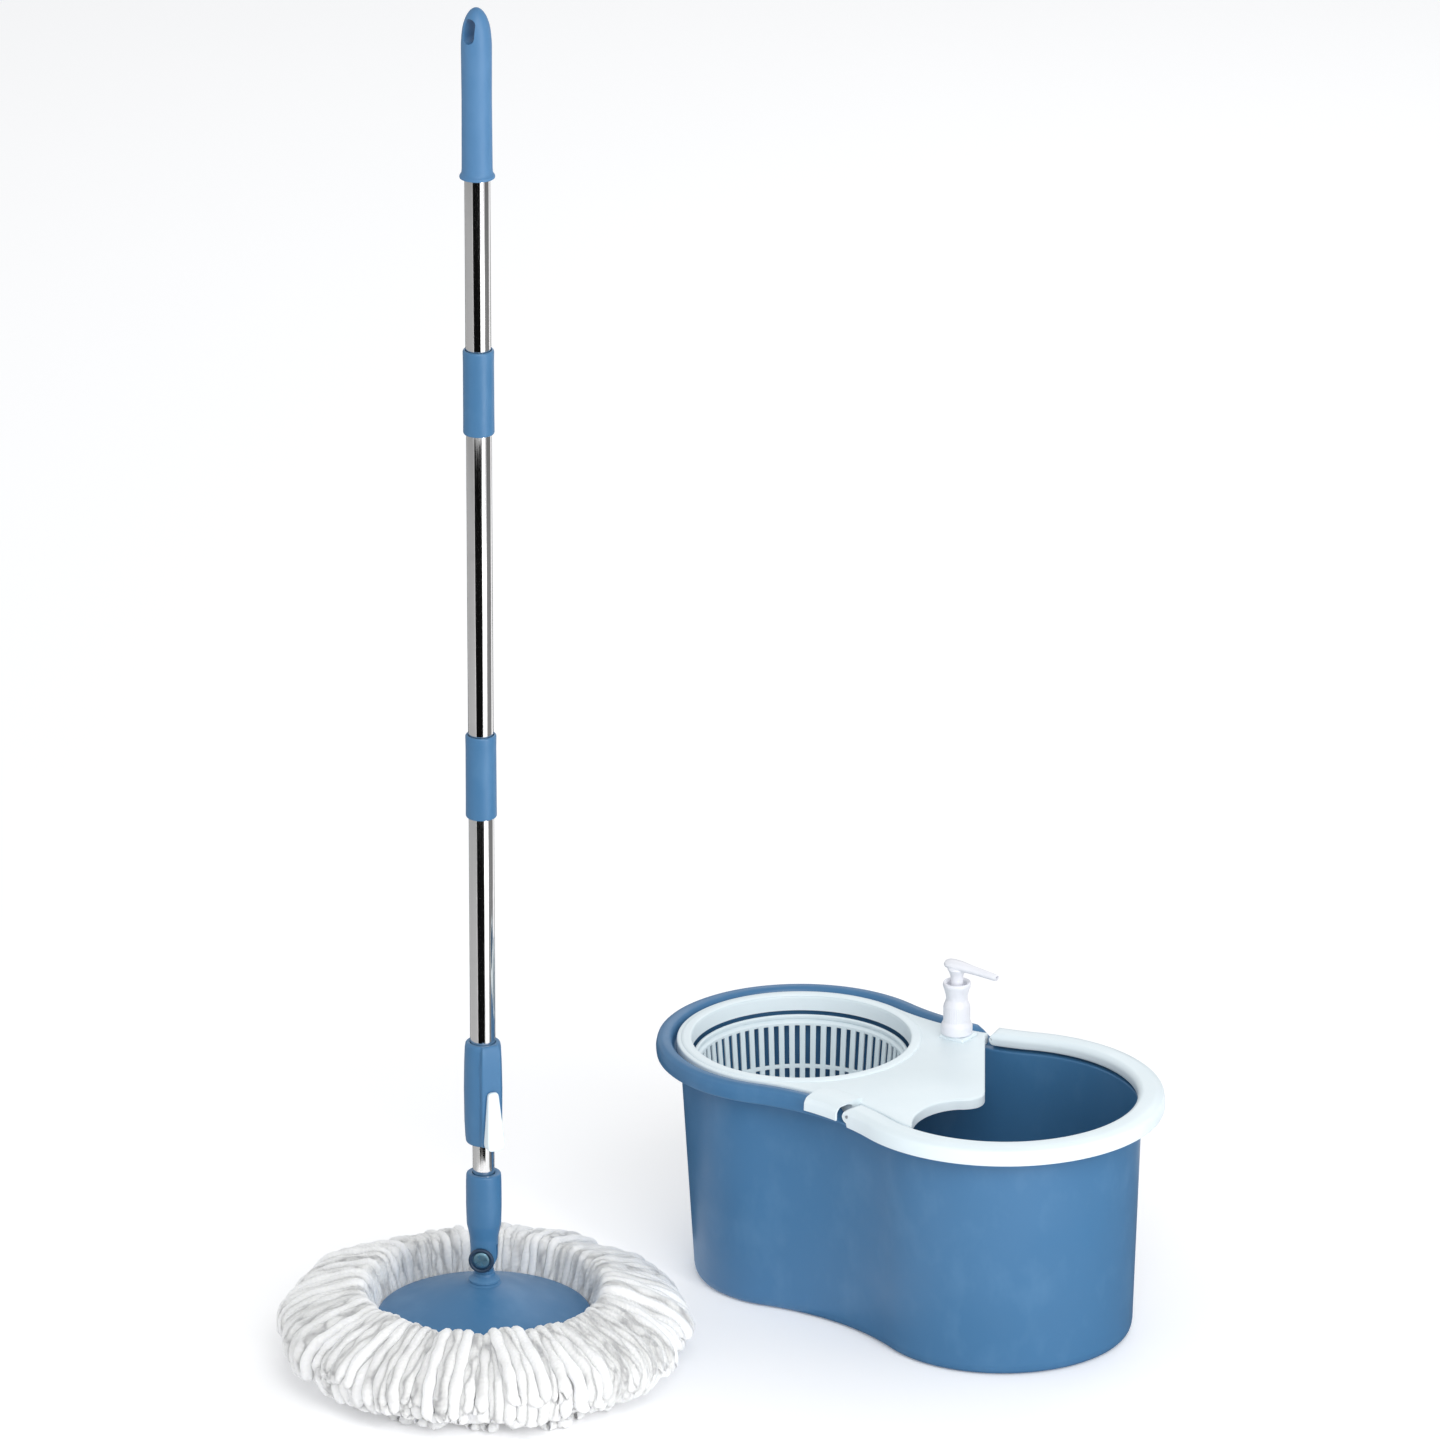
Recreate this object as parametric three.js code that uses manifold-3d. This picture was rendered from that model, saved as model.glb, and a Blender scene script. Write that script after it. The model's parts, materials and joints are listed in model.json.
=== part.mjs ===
// Spin mop: a telescopic mop with a round yarn head, and a two-lobe bucket with a spin basket.
// Millimetres, +Z up. The origin is on the floor under the bucket's waist; +X points to the rinse
// lobe, -X to the spin lobe, and +Y to the side with the soap pump.
import * as THREE from "three";
import { mergeVertices } from "three/addons/utils/BufferGeometryUtils.js";
import Module from "manifold-3d";

const wasm = await Module();
wasm.setup();

// ---------- driving dimensions ----------

const GAP = 0.3; // between pieces that touch

// Bucket: two round lobes joined by a waist, with drafted walls
const LOBE_OFFSET = 108.2; // lobe centre to origin
const FOOT = { spin: 95, rinse: 116, waist: 220 }; // wall just above the floor corner
const WALL_TOP = { spin: 107, rinse: 122, waist: 230 };
const FOOT_Z = 8;
const WALL_TOP_Z = 206;
const WALL = 2.3;
const FLOOR = 2.8;
const RIM_Z = 224.5; // crest of the rolled rim
const RIM_DROP = [2, 18]; // the rim steps down between these X, to pass under the handle
const PEDESTAL = { foot: 24, head: 15, top: 84 };

// Deck: the insert that covers the waist and carries the pump
const DECK_Z = 223;
const DECK_WALL = 2.2;
const DECK_FOOT_Z = 213.6;
const BASKET_HOLE = 97.2;
const HOLE_WALL_FOOT_Z = 209.5;
const CLIP = { from: -20, to: 20.6, top: 226.9, foot: 213.5 }; // hook over the front rim

// Basket
const BASKET = { lip: 95.8, top: 206.5, foot: 84, bottom: 98, wall: 2.4 };
const SLOTS = 30;
const SLOT_WIDTH = 4.4;
const SLOT_ROWS = [[161.5, 197.5], [121, 158]];

// Carry handle: a channel that lies over the rinse lobe's rim
const HANDLE = { inner: 118.5, outer: 142.6, top: 225, skirt: 209.5, wall: 2.2 };
const HANDLE_PIVOT = { x: 27, z: 219.5 };
const HANDLE_END = 6; // radius of the rounded ends about the pivot
const HANDLE_RELIEF = { wall: 1.2, top: 213.5, to: 48 }; // thinner skirt that clears the rim as it swings
const HANDLE_LUG = 3; // radius of the bucket's lug at the pivot
const HANDLE_PIN = 1.4;

// Soap pump
const PUMP = { x: 2.5, y: 82 };
const PUMP_PAD = { x: [-9, 17], y: [70, 95], top: 226 };
const NOZZLE_TURN = -1; // degrees from +X
const NOZZLE_DROP = 0; // degrees

// Mop
const MOP = { x: -208.5, y: -339, turn: 25.47 }; // turn puts the tilt pin on the local Y axis
const TUBE = { outer: 11, inner: 10.3 };
const ROD = { outer: 9.5, inner: 8.5 };
const GRIP = { bottom: 1098, top: 1249.5, radius: 13.2, flange: 15.3 };
const EYE = { radius: 5.8, upper: 14, lower: 24 }; // hanging eye, measured down from the grip's top
const UPPER_JOINT_Z = 905.5;
const LOWER_JOINT_Z = 554.5;
const JOINT_HALF = 38;
const SLEEVE = 13.5;
const HOUSING = { bottom: 213, top: 307 };
const SOCKET = { top: 184, shoulder: 124.5, radius: 15, lug: 12.2 };
const TILT_Z = 105.5;
const DISC = { radius: 94, rim: 47.5, apex: 82 };
const YARN = 184;
const SCREW_LEAD = 100; // mm of stroke for each turn of the head
const BAR = { width: 8, thick: 2.5, bottom: 250, top: 528 };
const LEVER = { azimuth: -27.5, pivotZ: 263, pivotR: 14.6, length: 50.5 };
const LEVER_FACE = { back: 17.4, top: 20.8, foot: 26.5 }; // distances from the pole's axis

// ---------- materials ----------

function finish(color, roughness, metalness = 0) {
  return new THREE.MeshStandardMaterial({ color, roughness, metalness });
}
const bluePlastic = finish(0x3f78ab, 0.4);
const whitePlastic = finish(0xe4edf2, 0.42);
const chromedSteel = finish(0xc9ccd0, 0.15, 1);
const blackRubber = finish(0x24282b, 0.8);
const steel = finish(0x9a9da1, 0.35, 1);
const microfibre = finish(0xf2f5f6, 0.95);
const clearPlastic = finish(0xdfe6ea, 0.2);

// ---------- geometry helpers ----------

// A closed geometry as a solid for boolean work.
function solid(geometry) {
  const bare = geometry.clone();
  bare.deleteAttribute("normal");
  bare.deleteAttribute("uv");
  const merged = mergeVertices(bare, 1e-4);
  return new wasm.Manifold(
    new wasm.Mesh({
      numProp: 3,
      vertProperties: new Float32Array(merged.attributes.position.array),
      triVerts: new Uint32Array(merged.index.array),
    }),
  );
}

function geometryOf(manifold) {
  const made = manifold.getMesh();
  const geometry = new THREE.BufferGeometry();
  geometry.setAttribute("position", new THREE.BufferAttribute(made.vertProperties, 3));
  geometry.setIndex(new THREE.BufferAttribute(made.triVerts, 1));
  geometry.computeVertexNormals();
  return geometry;
}

const part = new THREE.Group();
const mop = new THREE.Group();
mop.position.set(MOP.x, MOP.y, 0);
mop.rotation.z = THREE.MathUtils.degToRad(MOP.turn);
part.add(mop);

function place(parent, name, shape, material) {
  const geometry = shape.isBufferGeometry ? shape : geometryOf(shape);
  const mesh = new THREE.Mesh(geometry, material.clone());
  mesh.name = name;
  parent.add(mesh);
}

// A solid of revolution about Z: the profile is a closed loop of [radius, height] corners.
function turned(profile, sides = 18) {
  const points = profile.map(([r, z]) => new THREE.Vector2(r, z));
  if (THREE.ShapeUtils.isClockWise(points)) points.reverse();
  if (profile.every(([r]) => r > 0)) points.push(points[0].clone());
  else while (points[0].x !== 0 || points.at(-1).x !== 0) points.push(points.shift());
  return new THREE.LatheGeometry(points, sides).rotateX(Math.PI / 2);
}

function pipe(inner, outer, z0, z1, sides = 18) {
  return turned([[inner, z0], [outer, z0], [outer, z1], [inner, z1]], sides);
}

function rod(radius, z0, z1, sides = 18) {
  return turned([[0, z0], [radius, z0], [radius, z1], [0, z1]], sides);
}

function block(x0, x1, y0, y1, z0, z1) {
  const box = new THREE.BoxGeometry(x1 - x0, y1 - y0, z1 - z0);
  return box.translate((x0 + x1) / 2, (y0 + y1) / 2, (z0 + z1) / 2);
}

// A straight prism over a closed plan outline of [x, y] points.
function prism(outline, z0, z1) {
  const shape = new THREE.Shape(outline.map(([x, y]) => new THREE.Vector2(x, y)));
  const depth = z1 - z0;
  return new THREE.ExtrudeGeometry(shape, { depth, bevelEnabled: false }).translate(0, 0, z0);
}

function alongY(geometry, x, y, z) {
  return geometry.rotateX(-Math.PI / 2).translate(x, y, z);
}

// ---------- the two-lobe outline ----------

const grown = (o, d) => ({ spin: o.spin + d, rinse: o.rinse + d, waist: o.waist - d });

// Centre of the back waist arc, which both lobe circles touch from inside.
function waistCentre(o) {
  const toSpin = o.spin + o.waist;
  const toRinse = o.rinse + o.waist;
  const span = 2 * LOBE_OFFSET;
  const along = (span * span + toSpin * toSpin - toRinse * toRinse) / (2 * span);
  return [along - LOBE_OFFSET, Math.sqrt(toSpin * toSpin - along * along)];
}

const LOBE_STEPS = 17;
const WAIST_STEPS = 7;

function arc(cx, cy, r, from, to, steps) {
  return Array.from({ length: steps }, (_, i) => {
    const angle = from + ((to - from) * i) / steps;
    return [cx + r * Math.cos(angle), cy + r * Math.sin(angle)];
  });
}

// Counterclockwise closed outline, with the same number of points at every size.
function twoLobes(o) {
  const [wx, wy] = waistCentre(o);
  const rinseEnd = Math.atan2(wy, wx - LOBE_OFFSET);
  const spinEnd = Math.atan2(wy, wx + LOBE_OFFSET);
  return [
    ...arc(LOBE_OFFSET, 0, o.rinse, -rinseEnd, rinseEnd, LOBE_STEPS),
    ...arc(wx, wy, o.waist, rinseEnd - Math.PI, spinEnd - Math.PI, WAIST_STEPS),
    ...arc(-LOBE_OFFSET, 0, o.spin, spinEnd, 2 * Math.PI - spinEnd, LOBE_STEPS),
    ...arc(wx, -wy, o.waist, Math.PI - spinEnd, Math.PI - rinseEnd, WAIST_STEPS),
  ];
}

// |Y| of the outline at an X within the waist arc.
function waistY(o, x) {
  const [wx, wy] = waistCentre(o);
  return wy - Math.sqrt(o.waist * o.waist - (x - wx) * (x - wx));
}

const lobePrism = (o, z0, z1) => solid(prism(twoLobes(o), z0, z1));

// A solid skinned over level rings, closed by a fan at each end.
function skinned(rings, endHeights) {
  const sides = rings[0].length;
  const corners = rings.flat(2);
  const triangles = [];
  for (let r = 0; r + 1 < rings.length; r++) {
    for (let i = 0; i < sides; i++) {
      const a = r * sides + i;
      const b = r * sides + ((i + 1) % sides);
      triangles.push(a, b, b + sides, a, b + sides, a + sides);
    }
  }
  endHeights.forEach((z, end) => {
    const centre = corners.length / 3;
    corners.push(0, 0, z);
    const first = end ? (rings.length - 1) * sides : 0;
    for (let i = 0; i < sides; i++) {
      const a = first + i;
      const b = first + ((i + 1) % sides);
      triangles.push(...(end ? [a, b, centre] : [b, a, centre]));
    }
  });
  const geometry = new THREE.BufferGeometry();
  geometry.setAttribute("position", new THREE.Float32BufferAttribute(corners, 3));
  geometry.setIndex(triangles);
  return geometry;
}

// ---------- bucket ----------

const smooth = (t) => t * t * (3 - 2 * t);
const clamp01 = (t) => Math.min(1, Math.max(0, t));

// A ring of the shell; its height goes over from the spin side's to the rinse side's at the waist.
function shellRing([spin, rinse, waist, spinZ, rinseZ = spinZ]) {
  return twoLobes({ spin, rinse, waist }).map(([x, y]) => {
    const t = smooth(clamp01((x - RIM_DROP[0]) / (RIM_DROP[1] - RIM_DROP[0])));
    return [x, y, spinZ + (rinseZ - spinZ) * t];
  });
}

function handleLug(side) {
  const mid = (waistY(rimUnderHandle, HANDLE_PIVOT.x) + waistY(handleBore, HANDLE_PIVOT.x)) / 2;
  const { x, z } = HANDLE_PIVOT;
  const head = solid(alongY(rod(HANDLE_LUG, -4, 4, 16), x, side * mid, z));
  const stem = solid(block(x - HANDLE_LUG, x + HANDLE_LUG, side * mid - 4, side * mid + 4, 208, z));
  const bore = solid(alongY(rod(HANDLE_PIN + GAP, -6, 6, 16), x, side * mid, z));
  return head.add(stem).subtract(bore);
}

const handlePlan = { spin: HANDLE.outer - 14, rinse: HANDLE.outer, waist: 210 };
const handleBore = grown(handlePlan, HANDLE.inner - HANDLE.outer);
const rimUnderHandle = grown(handlePlan, -3.1);

function bucketBody() {
  const { spin, rinse, waist } = WALL_TOP;
  const out = (d, rinseD, z, rinseZ) => [spin + d, rinse + rinseD, waist - d, z, rinseZ];
  const rings = [
    [FOOT.spin - 7.5, FOOT.rinse - 7.5, FOOT.waist + 7.5, 0],
    [FOOT.spin - 2.5, FOOT.rinse - 2.5, FOOT.waist + 2.5, 2.4],
    [FOOT.spin, FOOT.rinse, FOOT.waist, FOOT_Z],
    out(0, 0, WALL_TOP_Z, 203),
    out(4.5, 4, 211, 207),
    out(12, 10, 221, 209.3),
    out(18.5, 15.2, 217, 209.3),
    out(19.8, 16, 208, 209.3),
    out(22, 17.5, 208, 209.4),
    out(22, 17.5, 217, 211.6),
    out(20, 16.2, 222.5, 212.4),
    out(14.5, 11.5, RIM_Z, 212.6),
    out(9.5, 7, 223.3, 212.2),
    out(7.2, 5, 221, 211.4),
    out(5, 3, 213.2, 210.6),
    out(-WALL, -WALL, 213.2, 210),
    [FOOT.spin - WALL, FOOT.rinse - WALL, FOOT.waist + WALL, FOOT_Z],
    [FOOT.spin - 4.5, FOOT.rinse - 4.5, FOOT.waist + 4.5, 4.2],
    [FOOT.spin - 9, FOOT.rinse - 9, FOOT.waist + 9, FLOOR],
  ];
  const shell = solid(skinned(rings.map(shellRing), [0, FLOOR]));
  const { foot, head, top } = PEDESTAL;
  const pedestal = turned([[0, FLOOR - 1], [foot, FLOOR - 1], [head, top - 4], [head - 2, top], [0, top]]);
  const pinHole = rod(4 + GAP, top - 24, top + 1, 16);
  return shell
    .add(solid(pedestal.translate(-LOBE_OFFSET, 0, 0)))
    .subtract(solid(pinHole.translate(-LOBE_OFFSET, 0, 0)))
    .add(handleLug(1))
    .add(handleLug(-1));
}

place(part, "bucket_body", bucketBody(), bluePlastic);
place(part, "spindle_pin", rod(4, 60.3, 109, 16).translate(-LOBE_OFFSET, 0, 0), steel);

// ---------- spin basket ----------

function basketProfile() {
  const { lip, top, foot, bottom, wall } = BASKET;
  return [
    [12, bottom], [foot - 5, bottom], [foot, bottom + 5], [92.6, 199], [lip, 201], [lip, top],
    [lip - 3.4, top], [lip - 3.4 - wall, 199], [foot - wall, bottom + 6], [foot - 6, bottom + wall],
    [12, bottom + wall],
  ];
}

function slot(index, [z0, z1]) {
  const cutter = block(70, 100, -SLOT_WIDTH / 2, SLOT_WIDTH / 2, z0, z1);
  return solid(cutter.rotateZ((index * 2 * Math.PI) / SLOTS));
}

function spinBasket() {
  const cutters = [];
  for (const row of SLOT_ROWS) {
    for (let i = 0; i < SLOTS; i++) cutters.push(slot(i, row));
  }
  const slots = wasm.Manifold.union(cutters);
  return solid(turned(basketProfile(), SLOTS)).subtract(slots);
}

// The raised centre that the mop's disc sits on, with a blind bore for its bush.
const hubProfile = [
  [11.7, 96], [11.7, 100.7], [17.5, 100.7], [15.5, 118], [10, 127], [0, 129], [0, 114.5], [7, 114.5],
  [7, 96],
];
const bushProfile = [[4.1, 94], [6.7, 94], [6.7, 114.2], [0, 114.2], [0, 110.5], [4.1, 110.5]];
const onSpindle = (geometry) => geometry.translate(-LOBE_OFFSET, 0, 0);

place(part, "spin_basket", spinBasket().translate([-LOBE_OFFSET, 0, 0]), whitePlastic);
place(part, "basket_hub", onSpindle(turned(hubProfile)), whitePlastic);
place(part, "hub_bush", onSpindle(turned(bushProfile)), steel);

// ---------- deck ----------

// The deck's free edge over the rinse lobe: straight from the back, a round corner, then a
// hollow sweep forward to a pointed tongue along the front rim.
function freeEdge(inset) {
  const edge = new THREE.Path();
  edge.moveTo(96 - inset, -140);
  edge.lineTo(93 - inset, -116);
  edge.bezierCurveTo(74 - inset, -98, 68 - inset, -62, 88 - inset, -41 + inset);
  edge.quadraticCurveTo(108 - inset, -28 + inset, 96 - inset, -10);
  edge.lineTo(22 - inset, 98);
  edge.lineTo(22 - inset, 140);
  return edge.getPoints(8).map((p) => [p.x, p.y]);
}

// Plan of the deck from z0 to z1, drawn in by an inset all round.
function deckBlock(z0, z1, inset) {
  const overLedge = lobePrism(grown(WALL_TOP, 3.4 - inset), z0, z1)
    .intersect(solid(block(-260, 21 - inset, -150, 150, z0 - 1, z1 + 1)));
  const tongue = [...freeEdge(inset), [-260, 140], [-260, -140]];
  const inHandle = lobePrism(grown(handleBore, -1.5 - inset), z0, z1)
    .intersect(solid(prism(tongue, z0 - 1, z1 + 1)));
  return overLedge.add(inHandle);
}

// The hook that clips the deck over the front of the rim.
function rimClip() {
  const { from, to, top, foot } = CLIP;
  const outer = lobePrism(grown(WALL_TOP, 24.7), foot, top);
  const overRim = lobePrism(grown(WALL_TOP, 22.5), foot - 1, RIM_Z + GAP);
  const riser = solid(block(from, to, -99, -92, DECK_Z - DECK_WALL, top));
  const cover = outer.subtract(overRim).intersect(solid(block(from, to, -150, -92, foot, top)));
  return cover.add(riser);
}

function deckTray() {
  const middle = -LOBE_OFFSET;
  const plate = deckBlock(DECK_FOOT_Z, DECK_Z, 0)
    .subtract(deckBlock(DECK_FOOT_Z - 1, DECK_Z - DECK_WALL, DECK_WALL));
  const wall = rod(BASKET_HOLE + DECK_WALL, HOLE_WALL_FOOT_Z, DECK_Z, 48).translate(middle, 0, 0);
  const opening = rod(BASKET_HOLE, HOLE_WALL_FOOT_Z - 1, DECK_Z + 1, 48).translate(middle, 0, 0);
  const pumpHole = rod(9.5, DECK_FOOT_Z, PUMP_PAD.top + 1).translate(PUMP.x, PUMP.y, 0);
  const pad = block(...PUMP_PAD.x, ...PUMP_PAD.y, DECK_Z - 1, PUMP_PAD.top);
  return plate
    .add(solid(pad))
    .add(solid(wall))
    .add(rimClip())
    .subtract(solid(opening))
    .subtract(solid(pumpHole));
}

place(part, "deck_tray", deckTray(), whitePlastic);

// ---------- carry handle ----------

function handleEar(side, inner, outer, radius) {
  const { x, z } = HANDLE_PIVOT;
  const half = (outer - inner) / 2;
  return solid(alongY(rod(radius, -half, half, 24), x, (side * (inner + outer)) / 2, z));
}

// What the outer skirt loses beside the pivots.
function swingRelief() {
  const { wall, top, to } = HANDLE_RELIEF;
  const { skirt } = HANDLE;
  return lobePrism(grown(handlePlan, -wall), skirt - 1, top)
    .intersect(solid(block(HANDLE_PIVOT.x - 10, to, -200, 200, skirt - 2, top)));
}

function carryHandle() {
  const { top, skirt, wall } = HANDLE;
  const { x, z } = HANDLE_PIVOT;
  const hollow = grown(handlePlan, -wall);
  const channel = lobePrism(handlePlan, skirt, top)
    .subtract(lobePrism(hollow, skirt - 1, top - wall))
    .add(lobePrism(grown(handleBore, wall), 214, top - wall / 2))
    .subtract(lobePrism(handleBore, skirt - 2, top + 1))
    .subtract(swingRelief());
  // the part ahead of the pivot, and the rounded ends about it
  const ahead = channel.intersect(solid(block(x, 300, -200, 200, skirt - 1, top + 1)));
  const drum = solid(alongY(rod(HANDLE_END, -200, 200, 32), x, 0, z));
  const webEnd = solid(block(x - HANDLE_END, x + 1, -200, 200, z, top + 1));
  const ends = channel.intersect(drum).intersect(webEnd);
  const ears = [1, -1].map((side) => {
    const inY = waistY(handleBore, x);
    const outY = waistY(handlePlan, x);
    const inner = handleEar(side, inY + 0.9, inY + 3.4, HANDLE_END - 0.4);
    const outer = handleEar(side, outY - 2.8, outY + 0.4, HANDLE_END);
    const bore = handleEar(side, inY - 6, outY + 6, HANDLE_PIN + GAP);
    return inner.add(outer).subtract(bore);
  });
  const bores = [1, -1].map((side) => handleEar(side, 80, 150, HANDLE_PIN + GAP));
  return ahead.add(ends).add(ears[0]).add(ears[1]).subtract(bores[0]).subtract(bores[1]);
}

function handlePin(side) {
  const inY = waistY(handleBore, HANDLE_PIVOT.x) + 0.2;
  const outY = waistY(handlePlan, HANDLE_PIVOT.x) + 0.3;
  return handleEar(side, inY, outY, HANDLE_PIN);
}

place(part, "carry_handle", carryHandle(), whitePlastic);
place(part, "handle_pin_back", handlePin(1), steel);
place(part, "handle_pin_front", handlePin(-1), steel);

// ---------- soap pump ----------

const bottlePlan = [[-24, 62], [20, 62], [24, 70], [20, 89], [-24, 89]];
const bottleInside = [[-22, 64], [19, 64], [21.8, 70], [18.4, 87], [-22, 87]];
const onPump = (geometry) => geometry.translate(PUMP.x, PUMP.y, 0);

function soapBottle() {
  return solid(prism(bottlePlan, 172, 213.2))
    .add(solid(onPump(rod(11, 188, 220.4))))
    .subtract(solid(prism(bottleInside, 174, 211.2)))
    .subtract(solid(onPump(rod(9.5, 190, 222))));
}

const collarProfile = [
  [7.7, 206], [9.2, 206], [9.2, 226.3], [14, 226.3], [14, 235], [12, 239], [12, 252], [9.6, 258],
  [9.8, 262], [12.6, 272], [12, 275], [8.8, 275], [8.8, 268], [5.9, 268], [5.9, 238], [7.7, 238],
];
const housingProfile = [
  [2.8, 194], [7.3, 194], [7.3, 237.5], [6, 237.5], [6, 197], [2.8, 197],
];

function pumpSpring() {
  const [z0, z1, turns, radius, wire] = [198.2, 228.8, 4, 4.4, 0.6];
  const steps = turns * 10;
  const points = Array.from({ length: steps + 1 }, (_, i) => {
    const angle = (i * 2 * Math.PI * turns) / steps;
    const z = z0 + ((z1 - z0) * i) / steps;
    return new THREE.Vector3(radius * Math.cos(angle), radius * Math.sin(angle), z);
  });
  const section = new THREE.Shape().absarc(0, 0, wire, 0, 2 * Math.PI);
  return new THREE.ExtrudeGeometry(section, {
    curveSegments: 2,
    steps,
    extrudePath: new THREE.CatmullRomCurve3(points),
  });
}

function pumpHead() {
  const stem = rod(5.5, 230, 284);
  const cap = turned([[0, 281], [7, 281], [7.6, 288], [6, 293.5], [0, 294.5]]);
  const spout = new THREE.CylinderGeometry(3.3, 4.4, 43, 16).rotateZ(-Math.PI / 2);
  spout.translate(21.5, 0, 0);
  spout.rotateY(THREE.MathUtils.degToRad(NOZZLE_DROP));
  spout.rotateZ(THREE.MathUtils.degToRad(NOZZLE_TURN));
  spout.translate(0, 0, 289);
  return solid(stem).add(solid(cap)).add(solid(spout)).translate([PUMP.x, PUMP.y, 0]);
}

place(part, "soap_bottle", soapBottle(), clearPlastic);
place(part, "pump_collar", onPump(turned(collarProfile)), whitePlastic);
place(part, "pump_housing", onPump(turned(housingProfile, 16)), whitePlastic);
place(part, "pump_spring", onPump(pumpSpring()), steel);
place(part, "pump_head", pumpHead(), whitePlastic);
place(part, "dip_tube", onPump(pipe(1.6, 2.5, 176, 196.5, 12)), clearPlastic);

// ---------- mop head ----------

const discProfile = [
  [0, DISC.apex], [14, DISC.apex - 1.6], [32, DISC.apex - 7.5], [62, DISC.apex - 18.5],
  [84, DISC.apex - 28], [DISC.radius, 50.5], [DISC.radius, DISC.rim], [90, DISC.rim],
  [83, DISC.apex - 31], [61, DISC.apex - 21.6], [31, DISC.apex - 10.6], [0, DISC.apex - 4],
];
const yarnRingProfile = [[48, 30], [84, 30], [84, 44], [78, 48], [52, 48], [48, 44]];
const yarnProfile = [
  [46, 0], [150, 0], [172, 7], [182, 20], [YARN, 40], [177, 57], [150, 71], [118, 80], [102, 82],
  [96, 78], [95.5, 47], [86.5, 43], [86.5, 28], [46, 28],
];

// Stem that stands on the disc, with a round tongue for the tilt pin.
function swivelKnuckle() {
  const neck = rod(8.5, DISC.apex + GAP, TILT_Z - 13, 20);
  const foot = turned([[0, DISC.apex + GAP], [14, DISC.apex + GAP], [14, 84], [9, 88], [0, 88]], 20);
  const tongue = block(-7.5, 7.5, -3.9, 3.9, DISC.apex + 4, TILT_Z);
  const head = alongY(rod(9.2, -3.9, 3.9), 0, 0, TILT_Z);
  const bore = alongY(rod(3.4, -6, 6, 16), 0, 0, TILT_Z);
  return solid(neck).add(solid(foot)).add(solid(tongue)).add(solid(head)).subtract(solid(bore));
}

place(mop, "mop_disc", turned(discProfile, 36), bluePlastic);
place(mop, "swivel_knuckle", swivelKnuckle(), bluePlastic);
place(mop, "yarn_ring", turned(yarnRingProfile, 36), whitePlastic);
place(mop, "yarn_head", turned(yarnProfile, 36), microfibre);

// ---------- tilting socket ----------

function pivotSocket() {
  const { top, shoulder, radius, lug } = SOCKET;
  const body = turned([
    [0, shoulder - 2], [lug, shoulder - 2], [radius, shoulder + 4], [radius + 0.6, top - 6],
    [radius - 0.4, top], [0, top],
  ]);
  const neck = rod(lug, TILT_Z, shoulder);
  const round = alongY(rod(lug, -lug, lug), 0, 0, TILT_Z);
  const cheeks = solid(round).intersect(solid(rod(lug, TILT_Z - lug, TILT_Z + lug)));
  const fork = block(-20, 20, -4.3, 4.3, TILT_Z - 20, TILT_Z + 12);
  const pinBore = alongY(rod(3.3, -20, 20, 16), 0, 0, TILT_Z);
  const rodBore = rod(ROD.outer + GAP, 134.7, top + 1);
  return solid(body)
    .add(solid(neck))
    .add(cheeks)
    .subtract(solid(fork))
    .subtract(solid(pinBore))
    .subtract(solid(rodBore));
}

// Round-headed bolt on the tilt axis; its head faces -Y.
function tiltBolt() {
  const profile = [
    [0, -15.5], [8, -15.2], [10.8, -13.6], [10.8, -12.6], [3, -12.6], [3, 12.6], [6.5, 12.6], [6.5, 15],
    [0, 15],
  ];
  return alongY(turned(profile), 0, 0, 0).rotateX(Math.PI).translate(0, 0, TILT_Z);
}

place(mop, "pivot_socket", pivotSocket(), bluePlastic);
place(mop, "tilt_bolt", tiltBolt(), steel);
place(mop, "inner_tube", pipe(ROD.inner, ROD.outer, 135, 485), chromedSteel);

// ---------- screw drive inside the tubes ----------

// A flat bar twisted about Z, one turn in SCREW_LEAD.
function twistedBar(grow, z0, z1) {
  const steps = Math.round(((z1 - z0) / SCREW_LEAD) * 32);
  const width = BAR.width + 2 * grow;
  const thick = BAR.thick + 2 * grow;
  const bar = new THREE.BoxGeometry(width, thick, z1 - z0, 1, 1, steps);
  bar.translate(0, 0, (z0 + z1) / 2);
  const at = bar.attributes.position;
  const corner = new THREE.Vector3();
  const upward = new THREE.Vector3(0, 0, 1);
  for (let i = 0; i < at.count; i++) {
    corner.fromBufferAttribute(at, i);
    corner.applyAxisAngle(upward, (corner.z * 2 * Math.PI) / SCREW_LEAD);
    at.setXYZ(i, corner.x, corner.y, corner.z);
  }
  return bar;
}

const driveNut = solid(rod(ROD.inner - 0.2, 468, 484)).subtract(solid(twistedBar(0.45, 458, 494)));
const anchorSlot = solid(twistedBar(0.45, 496, BAR.top + GAP));

place(mop, "drive_nut", driveNut, whitePlastic);
place(mop, "guide_bush", pipe(5, TUBE.inner - 0.4, 487, 497), whitePlastic);
place(mop, "spiral_bar", twistedBar(0, BAR.bottom, BAR.top), steel);
place(mop, "bar_anchor", solid(rod(TUBE.inner - GAP, 503, 532)).subtract(anchorSlot), whitePlastic);

// ---------- telescopic pole ----------

place(mop, "lower_tube", pipe(TUBE.inner, TUBE.outer, 228, LOWER_JOINT_Z - 0.5), chromedSteel);
const middleTube = pipe(TUBE.inner, TUBE.outer, LOWER_JOINT_Z + 0.5, UPPER_JOINT_Z - 0.5);
place(mop, "middle_tube", middleTube, chromedSteel);
place(mop, "upper_tube", pipe(TUBE.inner, TUBE.outer, UPPER_JOINT_Z + 0.5, 1190), chromedSteel);

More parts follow.
